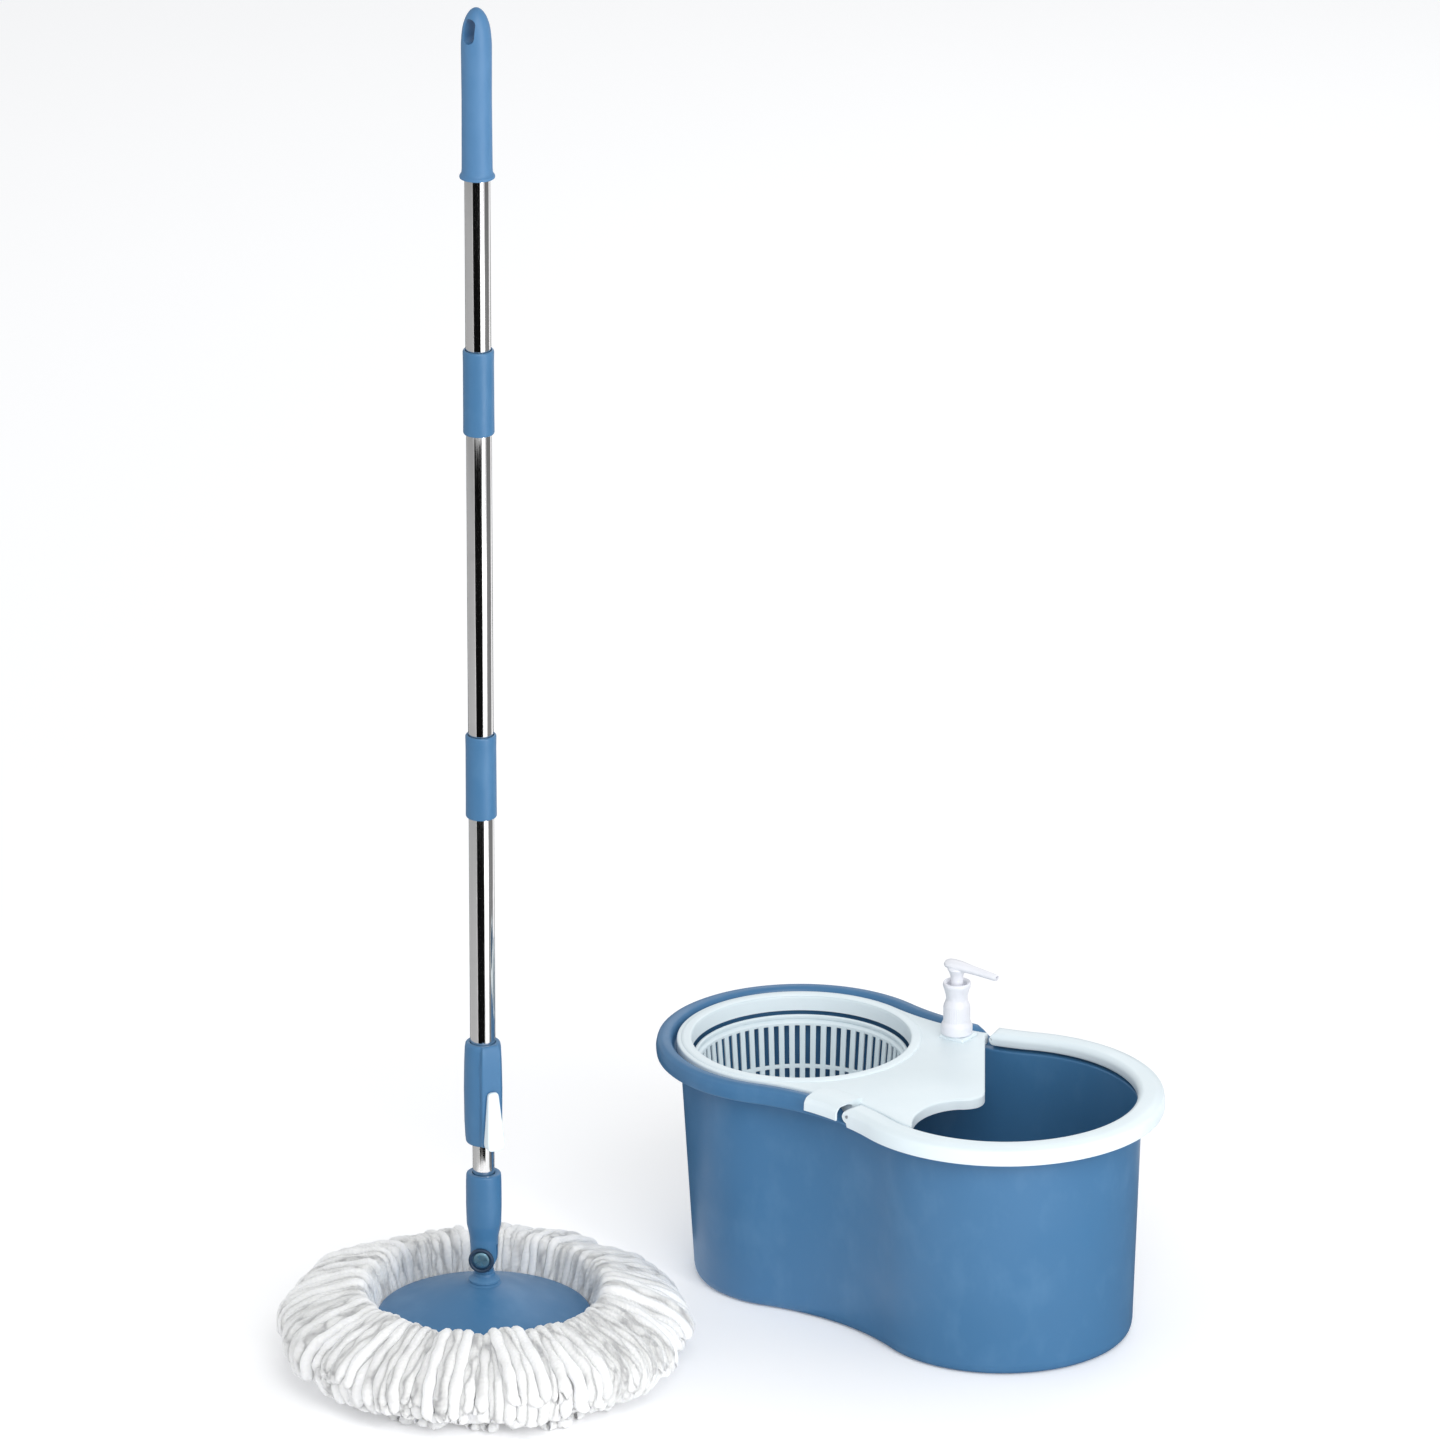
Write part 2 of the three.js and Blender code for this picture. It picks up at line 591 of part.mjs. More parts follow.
for (const [name, z] of [["lower", LOWER_JOINT_Z], ["upper", UPPER_JOINT_Z]]) {
  const sleeve = pipe(TUBE.outer + GAP, SLEEVE, z - JOINT_HALF, z + JOINT_HALF);
  place(mop, name + "_sleeve", sleeve, bluePlastic);
  place(mop, name + "_plug", rod(TUBE.inner - GAP, z - 21, z + 21), whitePlastic);
}

function grip() {
  const { bottom, top, radius, flange } = GRIP;
  const skin = turned([
    [0, bottom], [flange, bottom], [flange, bottom + 3], [radius, bottom + 6], [radius - 0.5, bottom + 80],
    [radius, top - 32], [12.5, top - 22], [11.4, top - 15], [8.8, top - 7.5], [5.4, top - 2.4], [2.4, top],
    [0, top],
  ]);
  const bore = rod(TUBE.outer + GAP, bottom - 1, 1192);
  const eye = new THREE.Shape();
  eye.absarc(0, top - EYE.upper, EYE.radius, 0, Math.PI);
  eye.absarc(0, top - EYE.lower, EYE.radius, Math.PI, 2 * Math.PI);
  const cutter = new THREE.ExtrudeGeometry(eye, { depth: 60, bevelEnabled: false, curveSegments: 6 });
  cutter.translate(0, 0, -30).rotateX(Math.PI / 2);
  cutter.rotateZ(THREE.MathUtils.degToRad(-MOP.turn)); // the eye faces along the row's Y
  return solid(skin).subtract(solid(bore)).subtract(solid(cutter));
}

place(mop, "grip", grip(), bluePlastic);

// ---------- lock ----------

// A frame at the lever: local X points outward through it.
const lock = new THREE.Group();
lock.rotation.z = THREE.MathUtils.degToRad(LEVER.azimuth - MOP.turn);
mop.add(lock);

function lockHousing() {
  const { bottom, top } = HOUSING;
  const shell = turned([
    [0, bottom], [15.4, bottom], [16.6, bottom + 20], [16.8, bottom + 50], [15.6, top - 3], [14.6, top],
    [0, top],
  ]);
  const pad = block(4, 17, -9.5, 9.5, bottom + 2, top - 4);
  const rodBore = rod(ROD.outer + 0.35, bottom - 1, top + 1);
  const tubeBore = rod(TUBE.outer + GAP, 227.7, top + 1);
  const leverPocket = block(11.6, 30, -5.2, 5.2, LEVER.pivotZ - 9, LEVER.pivotZ + 9);
  const shoePocket = block(9, 16, -4.2, 4.2, 214.8, 227.4);
  const pinBore = alongY(rod(1.9, -14, 14, 12), LEVER.pivotR, 0, LEVER.pivotZ);
  return solid(shell)
    .add(solid(pad))
    .subtract(solid(rodBore))
    .subtract(solid(tubeBore))
    .subtract(solid(leverPocket))
    .subtract(solid(shoePocket))
    .subtract(solid(pinBore));
}

// Lever plate, wider at its free lower end, with a cam eye at the top.
function lockLever() {
  const plate = new THREE.Shape();
  const foot = -LEVER.length;
  plate.moveTo(-4.8, -1);
  plate.lineTo(-8.5, foot + 6);
  plate.quadraticCurveTo(-8.5, foot, 0, foot);
  plate.quadraticCurveTo(8.5, foot, 8.5, foot + 6);
  plate.lineTo(4.8, -1);
  plate.quadraticCurveTo(4.8, 2.2, 0, 2.2);
  plate.quadraticCurveTo(-4.8, 2.2, -4.8, -1);
  const skin = new THREE.ExtrudeGeometry(plate, { depth: 20, bevelEnabled: false, curveSegments: 5 });
  skin.rotateX(Math.PI / 2).rotateZ(Math.PI / 2);
  skin.translate(LEVER_FACE.back - 5, 0, LEVER.pivotZ);
  const side = [
    [LEVER_FACE.back, 4], [LEVER_FACE.top, 4], [LEVER_FACE.foot, foot + 6],
    [LEVER_FACE.foot, foot - 1], [LEVER_FACE.back, foot - 1],
  ];
  const wedge = prism(side, -10, 10).rotateX(Math.PI / 2).translate(0, 0, LEVER.pivotZ);
  const eye = alongY(rod(2.6, -4.8, 4.8, 16), LEVER.pivotR, 0, LEVER.pivotZ);
  const arm = block(LEVER.pivotR, 18, -4.8, 4.8, LEVER.pivotZ - 2.6, LEVER.pivotZ + 2.6);
  const bore = alongY(rod(1.6 + GAP, -9, 9, 12), LEVER.pivotR, 0, LEVER.pivotZ);
  return solid(skin).intersect(solid(wedge)).add(solid(eye)).add(solid(arm)).subtract(solid(bore));
}

place(lock, "lock_housing", lockHousing(), bluePlastic);
place(lock, "lock_lever", lockLever(), whitePlastic);
place(lock, "lever_pin", alongY(rod(1.5, -8, 8, 12), LEVER.pivotR, 0, LEVER.pivotZ), steel);
place(lock, "brake_shoe", block(9.95, 15, -3.8, 3.8, 215.2, 227), blackRubber);

export default part;
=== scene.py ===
"""A spin mop standing beside its two-lobe bucket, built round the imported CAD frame.

Shapes are written in millimetres and made in metres. The bucket's frame is the row frame; the
mop's own frame stands on its axis, turned so that local Y is the tilt pin's axis.
"""

import json
import math

import bmesh
import bpy
import numpy as np
from mathutils import Matrix, Vector, noise

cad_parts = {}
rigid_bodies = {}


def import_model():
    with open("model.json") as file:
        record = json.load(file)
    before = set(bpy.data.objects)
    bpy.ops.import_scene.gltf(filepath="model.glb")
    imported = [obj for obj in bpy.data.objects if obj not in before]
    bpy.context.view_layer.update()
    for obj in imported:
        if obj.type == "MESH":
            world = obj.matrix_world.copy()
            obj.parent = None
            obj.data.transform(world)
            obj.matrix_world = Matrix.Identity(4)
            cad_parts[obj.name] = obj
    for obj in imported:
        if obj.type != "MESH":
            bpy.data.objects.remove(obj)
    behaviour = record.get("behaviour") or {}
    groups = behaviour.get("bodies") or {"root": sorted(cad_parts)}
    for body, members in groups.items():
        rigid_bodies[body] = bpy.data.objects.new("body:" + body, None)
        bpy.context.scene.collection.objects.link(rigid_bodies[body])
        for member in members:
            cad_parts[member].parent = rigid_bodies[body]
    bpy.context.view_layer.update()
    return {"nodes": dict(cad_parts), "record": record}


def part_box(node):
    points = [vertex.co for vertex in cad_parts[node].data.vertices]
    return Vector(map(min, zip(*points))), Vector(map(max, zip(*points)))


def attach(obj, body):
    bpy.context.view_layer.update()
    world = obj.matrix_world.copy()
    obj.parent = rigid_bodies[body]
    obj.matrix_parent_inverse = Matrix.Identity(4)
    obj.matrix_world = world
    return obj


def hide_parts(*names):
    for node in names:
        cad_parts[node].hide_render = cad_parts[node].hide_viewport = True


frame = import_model()
rng = np.random.default_rng(7)

# ---------- positions taken from the CAD ----------

MM = 0.001
SHARP = 38  # degrees; an edge that turns more than this is shaded sharp


def middle(node):
    low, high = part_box(node)
    return (low + high) / 2


def heights(node):
    """A node's lowest and highest point, in millimetres."""
    low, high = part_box(node)
    return low.z / MM, high.z / MM


joints = {j["name"]: j for j in frame["record"]["behaviour"]["joints"]}
tilt_axis = Vector(joints["pole_tilt"]["axis"])
MOP_TURN = math.atan2(tilt_axis.x, -tilt_axis.y)
pole_at = middle("upper_tube")
MOP = Matrix.Translation((pole_at.x, pole_at.y, 0)) @ Matrix.Rotation(MOP_TURN, 4, "Z")
lever_at = Vector(joints["lever_flip"]["pos_m"])
LEVER_TURN = math.atan2(lever_at.y - pole_at.y, lever_at.x - pole_at.x)
LOCK = Matrix.Translation((pole_at.x, pole_at.y, 0)) @ Matrix.Rotation(LEVER_TURN, 4, "Z")
LOBE = -middle("spindle_pin").x / MM  # from the origin to the middle of either lobe
TILT_Z = joints["pole_tilt"]["pos_m"][2] / MM
HERE = Matrix.Identity(4)

# ---------- camera and light ----------

WORLD_STRENGTH = 0.68
CARD_STEPS = 12
CARD_NEAR, CARD_FAR = 0.3, 9  # metres from the pole
CARD_Z = 0.0004  # metres, just above the floor

cam = bpy.data.objects.new("camera", bpy.data.cameras.new("camera"))
cam.data.sensor_width = 36
cam.data.lens = 348
cam.data.clip_start = 0.1
cam.data.clip_end = 60
cam.location = (6.471, -9.365, 4.841)
cam.rotation_euler = (math.radians(69.33), 0, math.radians(35.45))
bpy.context.scene.collection.objects.link(cam)
bpy.context.scene.camera = cam
bpy.context.scene.view_settings.view_transform = "Standard"


def area_light(name, location, target, size, watts, tint=(1, 1, 1)):
    light = bpy.data.lights.new(name, "AREA")
    light.shape = "RECTANGLE"
    light.size, light.size_y = size
    light.energy = watts
    light.color = tint
    lamp = bpy.data.objects.new(name, light)
    lamp.location = location
    aim = Vector(target) - Vector(location)
    lamp.rotation_euler = aim.to_track_quat("-Z", "Y").to_euler()
    bpy.context.scene.collection.objects.link(lamp)


def studio_world():
    """Soft white surroundings, a little greyer below."""
    world = bpy.data.worlds.new("studio")
    bpy.context.scene.world = world
    world.use_nodes = True
    tree = world.node_tree
    background = tree.nodes["Background"]
    coords = tree.nodes.new("ShaderNodeTexCoord")
    split = tree.nodes.new("ShaderNodeSeparateXYZ")
    ramp = tree.nodes.new("ShaderNodeValToRGB")
    ramp.color_ramp.elements[0].position = 0.35
    ramp.color_ramp.elements[0].color = (0.9, 0.9, 0.92, 1)
    ramp.color_ramp.elements[1].position = 0.75
    ramp.color_ramp.elements[1].color = (0.98, 0.99, 1.0, 1)
    lift = tree.nodes.new("ShaderNodeMapRange")
    lift.inputs["From Min"].default_value = -1
    tree.links.new(coords.outputs["Generated"], split.inputs[0])
    tree.links.new(split.outputs["Z"], lift.inputs["Value"])
    tree.links.new(lift.outputs[0], ramp.inputs[0])
    tree.links.new(ramp.outputs[0], background.inputs["Color"])
    background.inputs["Strength"].default_value = WORLD_STRENGTH


def reflection_card(name, start, end, tone):
    """A sector on the floor round the pole, seen only in reflections, for stripes in the chrome."""
    angles = [math.radians(start + (end - start) * i / CARD_STEPS) for i in range(CARD_STEPS + 1)]
    centre = Vector((pole_at.x, pole_at.y, CARD_Z))
    corners = [centre + Vector((r * math.cos(a), r * math.sin(a), 0))
               for r in (CARD_NEAR, CARD_FAR) for a in angles]
    row = len(angles)
    mesh = bpy.data.meshes.new(name)
    mesh.from_pydata(corners, [], [(i, i + 1, i + row + 1, i + row) for i in range(CARD_STEPS)])
    card = bpy.data.objects.new(name, mesh)
    paper = bpy.data.materials.new(name)
    paper.use_nodes = True
    shader = paper.node_tree.nodes["Principled BSDF"]
    shader.inputs["Base Color"].default_value = (tone, tone, tone, 1)
    shader.inputs["Roughness"].default_value = 1
    shader.inputs["Specular IOR Level"].default_value = 0
    mesh.materials.append(paper)
    bpy.context.scene.collection.objects.link(card)
    for ray in ("camera", "diffuse", "shadow", "transmission", "volume_scatter"):
        setattr(card, "visible_" + ray, False)


studio_world()
reflection_card("card_front", -97, -31, 0.004)
reflection_card("card_side", 12, 66, 0.22)
reflection_card("card_back", 96, 156, 0.01)
reflection_card("card_left", 160, 260, 0.5)
area_light("key", (2.6, -2.6, 3.0), (0, -0.1, 0.3), (2.2, 2.2), 70)
area_light("side", (2.4, -0.9, 0.9), (-0.1, -0.2, 0.45), (0.5, 1.8), 25)
area_light("fill", (-3.2, -2.0, 2.0), (-0.1, -0.2, 0.4), (2.0, 2.6), 9, (0.96, 0.98, 1))
area_light("back", (-1.2, 3.2, 2.6), (0, 0, 0.3), (2.6, 1.6), 22)

# ---------- materials ----------

PLIES = 3  # strands twisted into each yarn
WAVE_FACTOR = 20  # Blender's wave texture multiplies its coordinate by this


class Surface:
    """A material with one Principled shader, and short calls for its procedural nodes."""

    def __init__(self, name, colour, roughness, metallic=0.0):
        self.material = bpy.data.materials.new(name)
        self.material.use_nodes = True
        self.tree = self.material.node_tree
        self.shader = self.tree.nodes["Principled BSDF"]
        self.colour = colour
        self.shader.inputs["Base Color"].default_value = (*colour, 1)
        self.shader.inputs["Roughness"].default_value = roughness
        self.shader.inputs["Metallic"].default_value = metallic
        self.coords = self.tree.nodes.new("ShaderNodeTexCoord")
        self.height = None

    def link(self, out, into):
        self.tree.links.new(out, into)

    def noise(self, scale, detail=3, stretch=(1, 1, 1)):
        mapping = self.tree.nodes.new("ShaderNodeMapping")
        mapping.inputs["Scale"].default_value = stretch
        self.link(self.coords.outputs["Object"], mapping.inputs["Vector"])
        texture = self.tree.nodes.new("ShaderNodeTexNoise")
        texture.inputs["Scale"].default_value = scale
        texture.inputs["Detail"].default_value = detail
        texture.inputs["Roughness"].default_value = 0.55
        self.link(mapping.outputs[0], texture.inputs["Vector"])
        return texture.outputs["Fac"]

    def wave(self, scale, distortion):
        texture = self.tree.nodes.new("ShaderNodeTexWave")
        texture.inputs["Scale"].default_value = scale
        texture.inputs["Distortion"].default_value = distortion
        self.link(self.coords.outputs["UV"], texture.inputs["Vector"])
        return texture.outputs["Fac"]

    def remap(self, value, low, high, to_low, to_high):
        node = self.tree.nodes.new("ShaderNodeMapRange")
        keys = ("From Min", "From Max", "To Min", "To Max")
        for key, number in zip(keys, (low, high, to_low, to_high)):
            node.inputs[key].default_value = number
        self.link(value, node.inputs["Value"])
        return node.outputs[0]

    def tint(self, mask, colour):
        """Mixes towards a colour where the mask is high."""
        node = self.tree.nodes.new("ShaderNodeMix")
        node.data_type = "RGBA"
        base = self.shader.inputs["Base Color"]
        if base.is_linked:
            self.link(base.links[0].from_socket, node.inputs["A"])
        else:
            node.inputs["A"].default_value = (*self.colour, 1)
        node.inputs["B"].default_value = (*colour, 1)
        self.link(mask, node.inputs["Factor"])
        self.link(node.outputs["Result"], base)

    def rough(self, value, low, high, to_low, to_high):
        self.link(self.remap(value, low, high, to_low, to_high), self.shader.inputs["Roughness"])

    def bump(self, value, strength, distance):
        node = self.tree.nodes.new("ShaderNodeBump")
        node.inputs["Strength"].default_value = strength
        node.inputs["Distance"].default_value = distance
        self.link(value, node.inputs["Height"])
        if self.height is not None:
            self.link(self.height, node.inputs["Normal"])
        self.height = node.outputs[0]
        self.link(self.height, self.shader.inputs["Normal"])

    def edges(self, low, high, strength):
        """Brighter edges, from how convex the surface is: a painted highlight."""
        geometry = self.tree.nodes.new("ShaderNodeNewGeometry")
        return self.remap(geometry.outputs["Pointiness"], low, high, 0, strength)


def shade(colour, factor):
    return tuple(c * factor for c in colour)


def moulded(name, colour, roughness, scuff_and_edge_highlight, grain=0.05):
    """Injection-moulded plastic: fine grain, faint flow mottle, handling scuffs, and convex edges
    lightened as a painted highlight.
    """
    s = Surface(name, colour, roughness)
    s.tint(s.remap(s.noise(9, 4), 0.35, 0.7, 0, 0.4), shade(colour, 0.92))
    s.tint(s.remap(s.noise(34, 3, (1, 1, 0.6)), 0.5, 0.75, 0, 0.14), scuff_and_edge_highlight)
    # painted highlight: convex edges lightened towards the scuff colour
    s.tint(s.edges(0.52, 0.62, 0.3), scuff_and_edge_highlight)
    scuffs = s.noise(160, 2, (1, 1, 6))
    s.rough(s.noise(22, 5), 0.3, 0.7, roughness - 0.05, roughness + 0.09)
    s.bump(s.noise(1500, 2), grain, 0.0002)
    s.bump(s.remap(scuffs, 0.62, 0.68, 0, 1), grain, 0.0001)
    s.shader.inputs["IOR"].default_value = 1.49
    return s.material


def polished_tube(name, colour, roughness):
    """Chromed tube: drawn lengthwise, with hairline scratches and faint water marks."""
    s = Surface(name, colour, roughness, 1.0)
    hairlines = s.noise(900, 2, (1, 1, 0.012))
    s.rough(hairlines, 0.35, 0.75, roughness - 0.02, roughness + 0.1)
    s.tint(s.remap(s.noise(38, 5), 0.55, 0.72, 0, 0.35), shade(colour, 0.82))
    s.bump(hairlines, 0.05, 0.0001)
    return s.material


def turned_steel(name, colour, roughness):
    s = Surface(name, colour, roughness, 1.0)
    rings = s.noise(700, 2, (0.05, 1, 0.05))
    s.rough(s.noise(120, 4), 0.3, 0.7, roughness - 0.06, roughness + 0.12)
    s.tint(s.remap(s.noise(60, 4), 0.5, 0.75, 0, 0.4), shade(colour, 0.6))
    s.bump(rings, 0.1, 0.0001)
    return s.material


def yarn_material(name, colour):
    """Microfibre yarn: plied twist along each strand with painted shade in its grooves, fuzz over it, and
    a soft sheen.
    """
    s = Surface(name, colour, 0.9)
    twist = s.wave(2 * math.pi * PLIES / WAVE_FACTOR, 0.5)
    fuzz = s.noise(2600, 3)
    # painted shade: darker where the twist's bump runs low, in its grooves
    s.tint(s.remap(twist, 0.0, 0.45, 0.3, 0), shade(colour, 0.93))
    s.tint(s.remap(s.noise(28, 3), 0.45, 0.75, 0, 0.3), shade(colour, 0.98))
    s.bump(twist, 0.25, 0.0009)
    s.bump(fuzz, 0.45, 0.0006)
    s.shader.inputs["Sheen Weight"].default_value = 0.3
    s.shader.inputs["Sheen Roughness"].default_value = 0.5
    s.shader.inputs["Subsurface Weight"].default_value = 0.6
    s.shader.inputs["Subsurface Radius"].default_value = (0.01, 0.01, 0.011)
    s.shader.inputs["Subsurface Scale"].default_value = 1.0
    return s.material


def rubbery(name, colour):
    s = Surface(name, colour, 0.75)
    s.tint(s.remap(s.noise(90, 5), 0.4, 0.7, 0, 0.5), shade(colour, 1.8))
    s.rough(s.noise(140, 3), 0.3, 0.7, 0.62, 0.85)
    s.bump(s.noise(1800, 2), 0.2, 0.0002)
    return s.material


BLUE = (0.047, 0.16, 0.32)
blue = moulded("blue_polypropylene", BLUE, 0.4, (0.16, 0.33, 0.52))
blue_grip = moulded("blue_grip_plastic", (0.066, 0.19, 0.37), 0.48, (0.15, 0.30, 0.5), 0.1)
blue_dark = moulded("navy_ring_plastic", (0.012, 0.035, 0.075), 0.45, (0.05, 0.09, 0.14))
white = moulded("white_polypropylene", (0.74, 0.83, 0.87), 0.36, (0.86, 0.9, 0.92))
pump_white = moulded("pump_plastic", (0.80, 0.81, 0.86), 0.32, (0.88, 0.89, 0.92))
frosted = moulded("frosted_bottle", (0.66, 0.73, 0.78), 0.5, (0.8, 0.84, 0.87))
chrome = polished_tube("chromed_tube", (0.86, 0.85, 0.845), 0.07)
steel = turned_steel("turned_steel", (0.5, 0.51, 0.53), 0.35)
bolt_blue = turned_steel("blued_bolt_steel", (0.24, 0.43, 0.54), 0.38)
yarn = yarn_material("microfibre_yarn", (0.95, 0.957, 0.97))
rubber = rubbery("brake_rubber", (0.03, 0.03, 0.034))

# ---------- mesh helpers ----------


def mesh_piece(name, points, faces, material, body, node=None, matrix=HERE, sharp=SHARP):
    """Points in millimetres, in the frame of the matrix, as an object that rides on a body."""
    mesh = bpy.data.meshes.new(name)
    mesh.from_pydata([tuple(c * MM for c in p) for p in points], [], faces)
    mesh.transform(matrix)
    mesh.validate()
    for polygon in mesh.polygons:
        polygon.use_smooth = True
    mesh.set_sharp_from_angle(angle=math.radians(sharp))
    piece = bpy.data.objects.new(name, mesh)
    bpy.context.scene.collection.objects.link(piece)
    mesh.materials.append(material)
    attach(piece, body)
    if node:
        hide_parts(node)
    return piece


def bevel(piece, width, segments=2, angle=35):
    modifier = piece.modifiers.new("bevel", "BEVEL")
    modifier.width = width * MM
    modifier.segments = segments
    modifier.limit_method = "ANGLE"
    modifier.angle_limit = math.radians(angle)
    return piece


def rounded(profile, radius, steps=4, closed=False):
    """A polyline with each corner drawn as a curve, cut back by at most the radius."""
    def cut_back(p, neighbour):
        edge = np.linalg.norm(neighbour - p)
        return p + (neighbour - p) * (min(radius, 0.45 * edge) / max(edge, 1e-9))

    pts = [np.array(p, float) for p in profile]
    n = len(pts)
    out = []
    for i, p in enumerate(pts):
        if not closed and i in (0, n - 1):
            out.append(p)
            continue
        a, b = cut_back(p, pts[i - 1]), cut_back(p, pts[(i + 1) % n])
        for k in range(steps + 1):
            t = k / steps
            out.append((1 - t) ** 2 * a + 2 * t * (1 - t) * p + t * t * b)
    return out


def grid_faces(rows, columns, wrap_rows=False):
    """Quads between rows of points that each close on themselves."""
    faces = []
    for r in range(rows if wrap_rows else rows - 1):
        for c in range(columns):
            r2, c2 = (r + 1) % rows, (c + 1) % columns
            faces.append((r * columns + c, r * columns + c2, r2 * columns + c2, r2 * columns + c))
    return faces


def capped_faces(rows, n):
    """The quads of a closed section carried along rows of n points, and its two ends."""
    last = rows * n
    return grid_faces(rows, n) + [tuple(range(n)), tuple(range(last - 1, last - n - 1, -1))]


def prism_faces(n):
    """The two ends of a prism with outlines of n points, and its sides."""
    ends = [tuple(range(n - 1, -1, -1)), tuple(range(n, 2 * n))]
    return ends + [(i, (i + 1) % n, n + (i + 1) % n, n + i) for i in range(n)]


def cut(piece, points, faces, matrix):
    """Takes a solid out of the piece; its points are in millimetres, in the frame of the matrix."""
    cutter = bpy.data.objects.new("cutter", bpy.data.meshes.new("cutter"))
    cutter.data.from_pydata([tuple(c * MM for c in p) for p in points], [], faces)
    cutter.data.transform(matrix)
    bpy.context.scene.collection.objects.link(cutter)
    cutter.parent = piece.parent
    modifier = piece.modifiers.new("cut", "BOOLEAN")
    modifier.operation = "DIFFERENCE"
    modifier.object = cutter
    modifier.solver = "EXACT"
    bpy.context.view_layer.update()
    made = bpy.data.meshes.new_from_object(piece.evaluated_get(bpy.context.evaluated_depsgraph_get()))
    piece.modifiers.clear()
    old = piece.data
    piece.data = made
    for polygon in made.polygons:
        polygon.use_smooth = True
    made.set_sharp_from_angle(angle=math.radians(SHARP))
    bpy.data.objects.remove(cutter)
    bpy.data.meshes.remove(old)
    return piece


def lathe(name, profile, material, body, node=None, matrix=HERE, centre=(0, 0), sides=64,
          radius=0.8, steps=3, closed=False, sharp=SHARP):
    """A profile of [radius, height] turned about Z; open profiles start and end on the axis."""
    curve = rounded(profile, radius, steps, closed)
    points, rows = [], []
    for r, z in curve:
        if r < 1e-6:
            rows.append([len(points)] * sides)
            points.append((centre[0], centre[1], z))
            continue
        rows.append(list(range(len(points), len(points) + sides)))
        for i in range(sides):
            a = 2 * math.pi * i / sides
            points.append((centre[0] + r * math.cos(a), centre[1] + r * math.sin(a), z))
    faces = []
    for k in range(len(rows) if closed else len(rows) - 1):
        low, high = rows[k], rows[(k + 1) % len(rows)]
        for i in range(sides):
            j = (i + 1) % sides
            face = tuple(dict.fromkeys((low[i], low[j], high[j], high[i])))
            if len(face) > 2:
                faces.append(face)
    return mesh_piece(name, points, faces, material, body, node, matrix, sharp)


# ---------- the two-lobe outline ----------


def waist_centre(spin, rinse, waist):
    """The centre of the back waist's arc, from the radii of the two lobes and of the waist."""
    to_spin, to_rinse, span = spin + waist, rinse + waist, 2 * LOBE
    along = (span * span + to_spin**2 - to_rinse**2) / (2 * span)
    return along - LOBE, math.sqrt(to_spin**2 - along**2)


def arc(cx, cy, r, start, end, steps):
    return [(cx + r * math.cos(start + (end - start) * i / steps),
             cy + r * math.sin(start + (end - start) * i / steps)) for i in range(steps)]


def outline(spin, rinse, waist, lobe_steps=72, waist_steps=26):
    """The closed two-lobe outline, counterclockwise from the front of the rinse lobe."""
    wx, wy = waist_centre(spin, rinse, waist)
    to_rinse, to_spin = math.atan2(wy, wx - LOBE), math.atan2(wy, wx + LOBE)
    return (arc(LOBE, 0, rinse, -to_rinse, to_rinse, lobe_steps)
            + arc(wx, wy, waist, to_rinse - math.pi, to_spin - math.pi, waist_steps)
            + arc(-LOBE, 0, spin, to_spin, 2 * math.pi - to_spin, lobe_steps)
            + arc(wx, -wy, waist, math.pi - to_spin, math.pi - to_rinse, waist_steps))


# Outlines, as the radii of the spin lobe, the rinse lobe and the waist.
WALL_TOP = (107, 122, 230)
FOOT = (95, 116, 220)
WALL = 2.3
STEP_X, STEP_LENGTH = 2, 16  # where the rim steps down from the spin lobe to the rinse lobe


def smooth(t):
    t = min(1.0, max(0.0, t))
    return t * t * (3 - 2 * t)


def bucket_shell():
    """One closed shell: foot, drafted wall, rolled rim, ledge, inner wall and floor."""
    def top(d, rinse_d, z, rinse_z):
        return (WALL_TOP[0] + d, WALL_TOP[1] + rinse_d, WALL_TOP[2] - d, z, rinse_z)

    def foot(d, z):
        return (FOOT[0] + d, FOOT[1] + d, FOOT[2] - d, z, z)

    rings = [
        foot(-9, 0.6), foot(-8.2, 0), foot(-6.6, 0), foot(-3.1, 1.4), foot(-1.1, 4.2), foot(0, 9),
        top(0, 0, 202, 199), top(0.4, 0.3, 206, 203), top(4.5, 4, 211, 207), top(11, 10, 216, 209.3),
        top(18.2, 15.2, 211, 209.3), top(19.8, 16, 208.2, 209.3), top(21.2, 17, 208.6, 209.4),
        top(22, 17.5, 216, 211.2), top(20.6, 16.4, 222.4, 212.3), top(17, 13.6, 224.4, 212.6),
        top(12.6, 10, 224.3, 212.5), top(9.2, 7, 223.2, 212.2), top(7.3, 5, 219.5, 211.4),
        top(6.4, 3, 213.2, 210.6), top(-1.6, -1.6, 213.2, 210), top(-WALL, -WALL, 212, 209),
        foot(-WALL, 9), foot(-3.6, 5.4), foot(-6.4, 3.2), foot(-10, 2.8),
    ]
    rings = rounded(rings, 1.8, 2)
    points = []
    for spin, rinse, waist, z_spin, z_rinse in rings:
        for x, y in outline(spin, rinse, waist):
            t = smooth((x - STEP_X) / STEP_LENGTH)
            points.append((x, y, z_spin + (z_rinse - z_spin) * t))
    count = len(points) // len(rings)
    faces = grid_faces(len(rings), count)
    bottom, floor = len(points), len(points) + 1
    points += [(0, 0, 0.6), (0, 0, 2.8)]
    last = (len(rings) - 1) * count
    for i in range(count):
        j = (i + 1) % count
        faces.append((j, i, bottom))
        faces.append((last + i, last + j, floor))
    return mesh_piece("bucket_shell", points, faces, blue, "bucket", "bucket_body",
                      sharp=50)


bucket_shell()
lathe("spindle_pedestal", [(24, 2.4), (15, 80), (13, 84), (4.3, 84), (4.3, 78)], blue, "bucket",
      centre=(-LOBE, 0), sides=48)

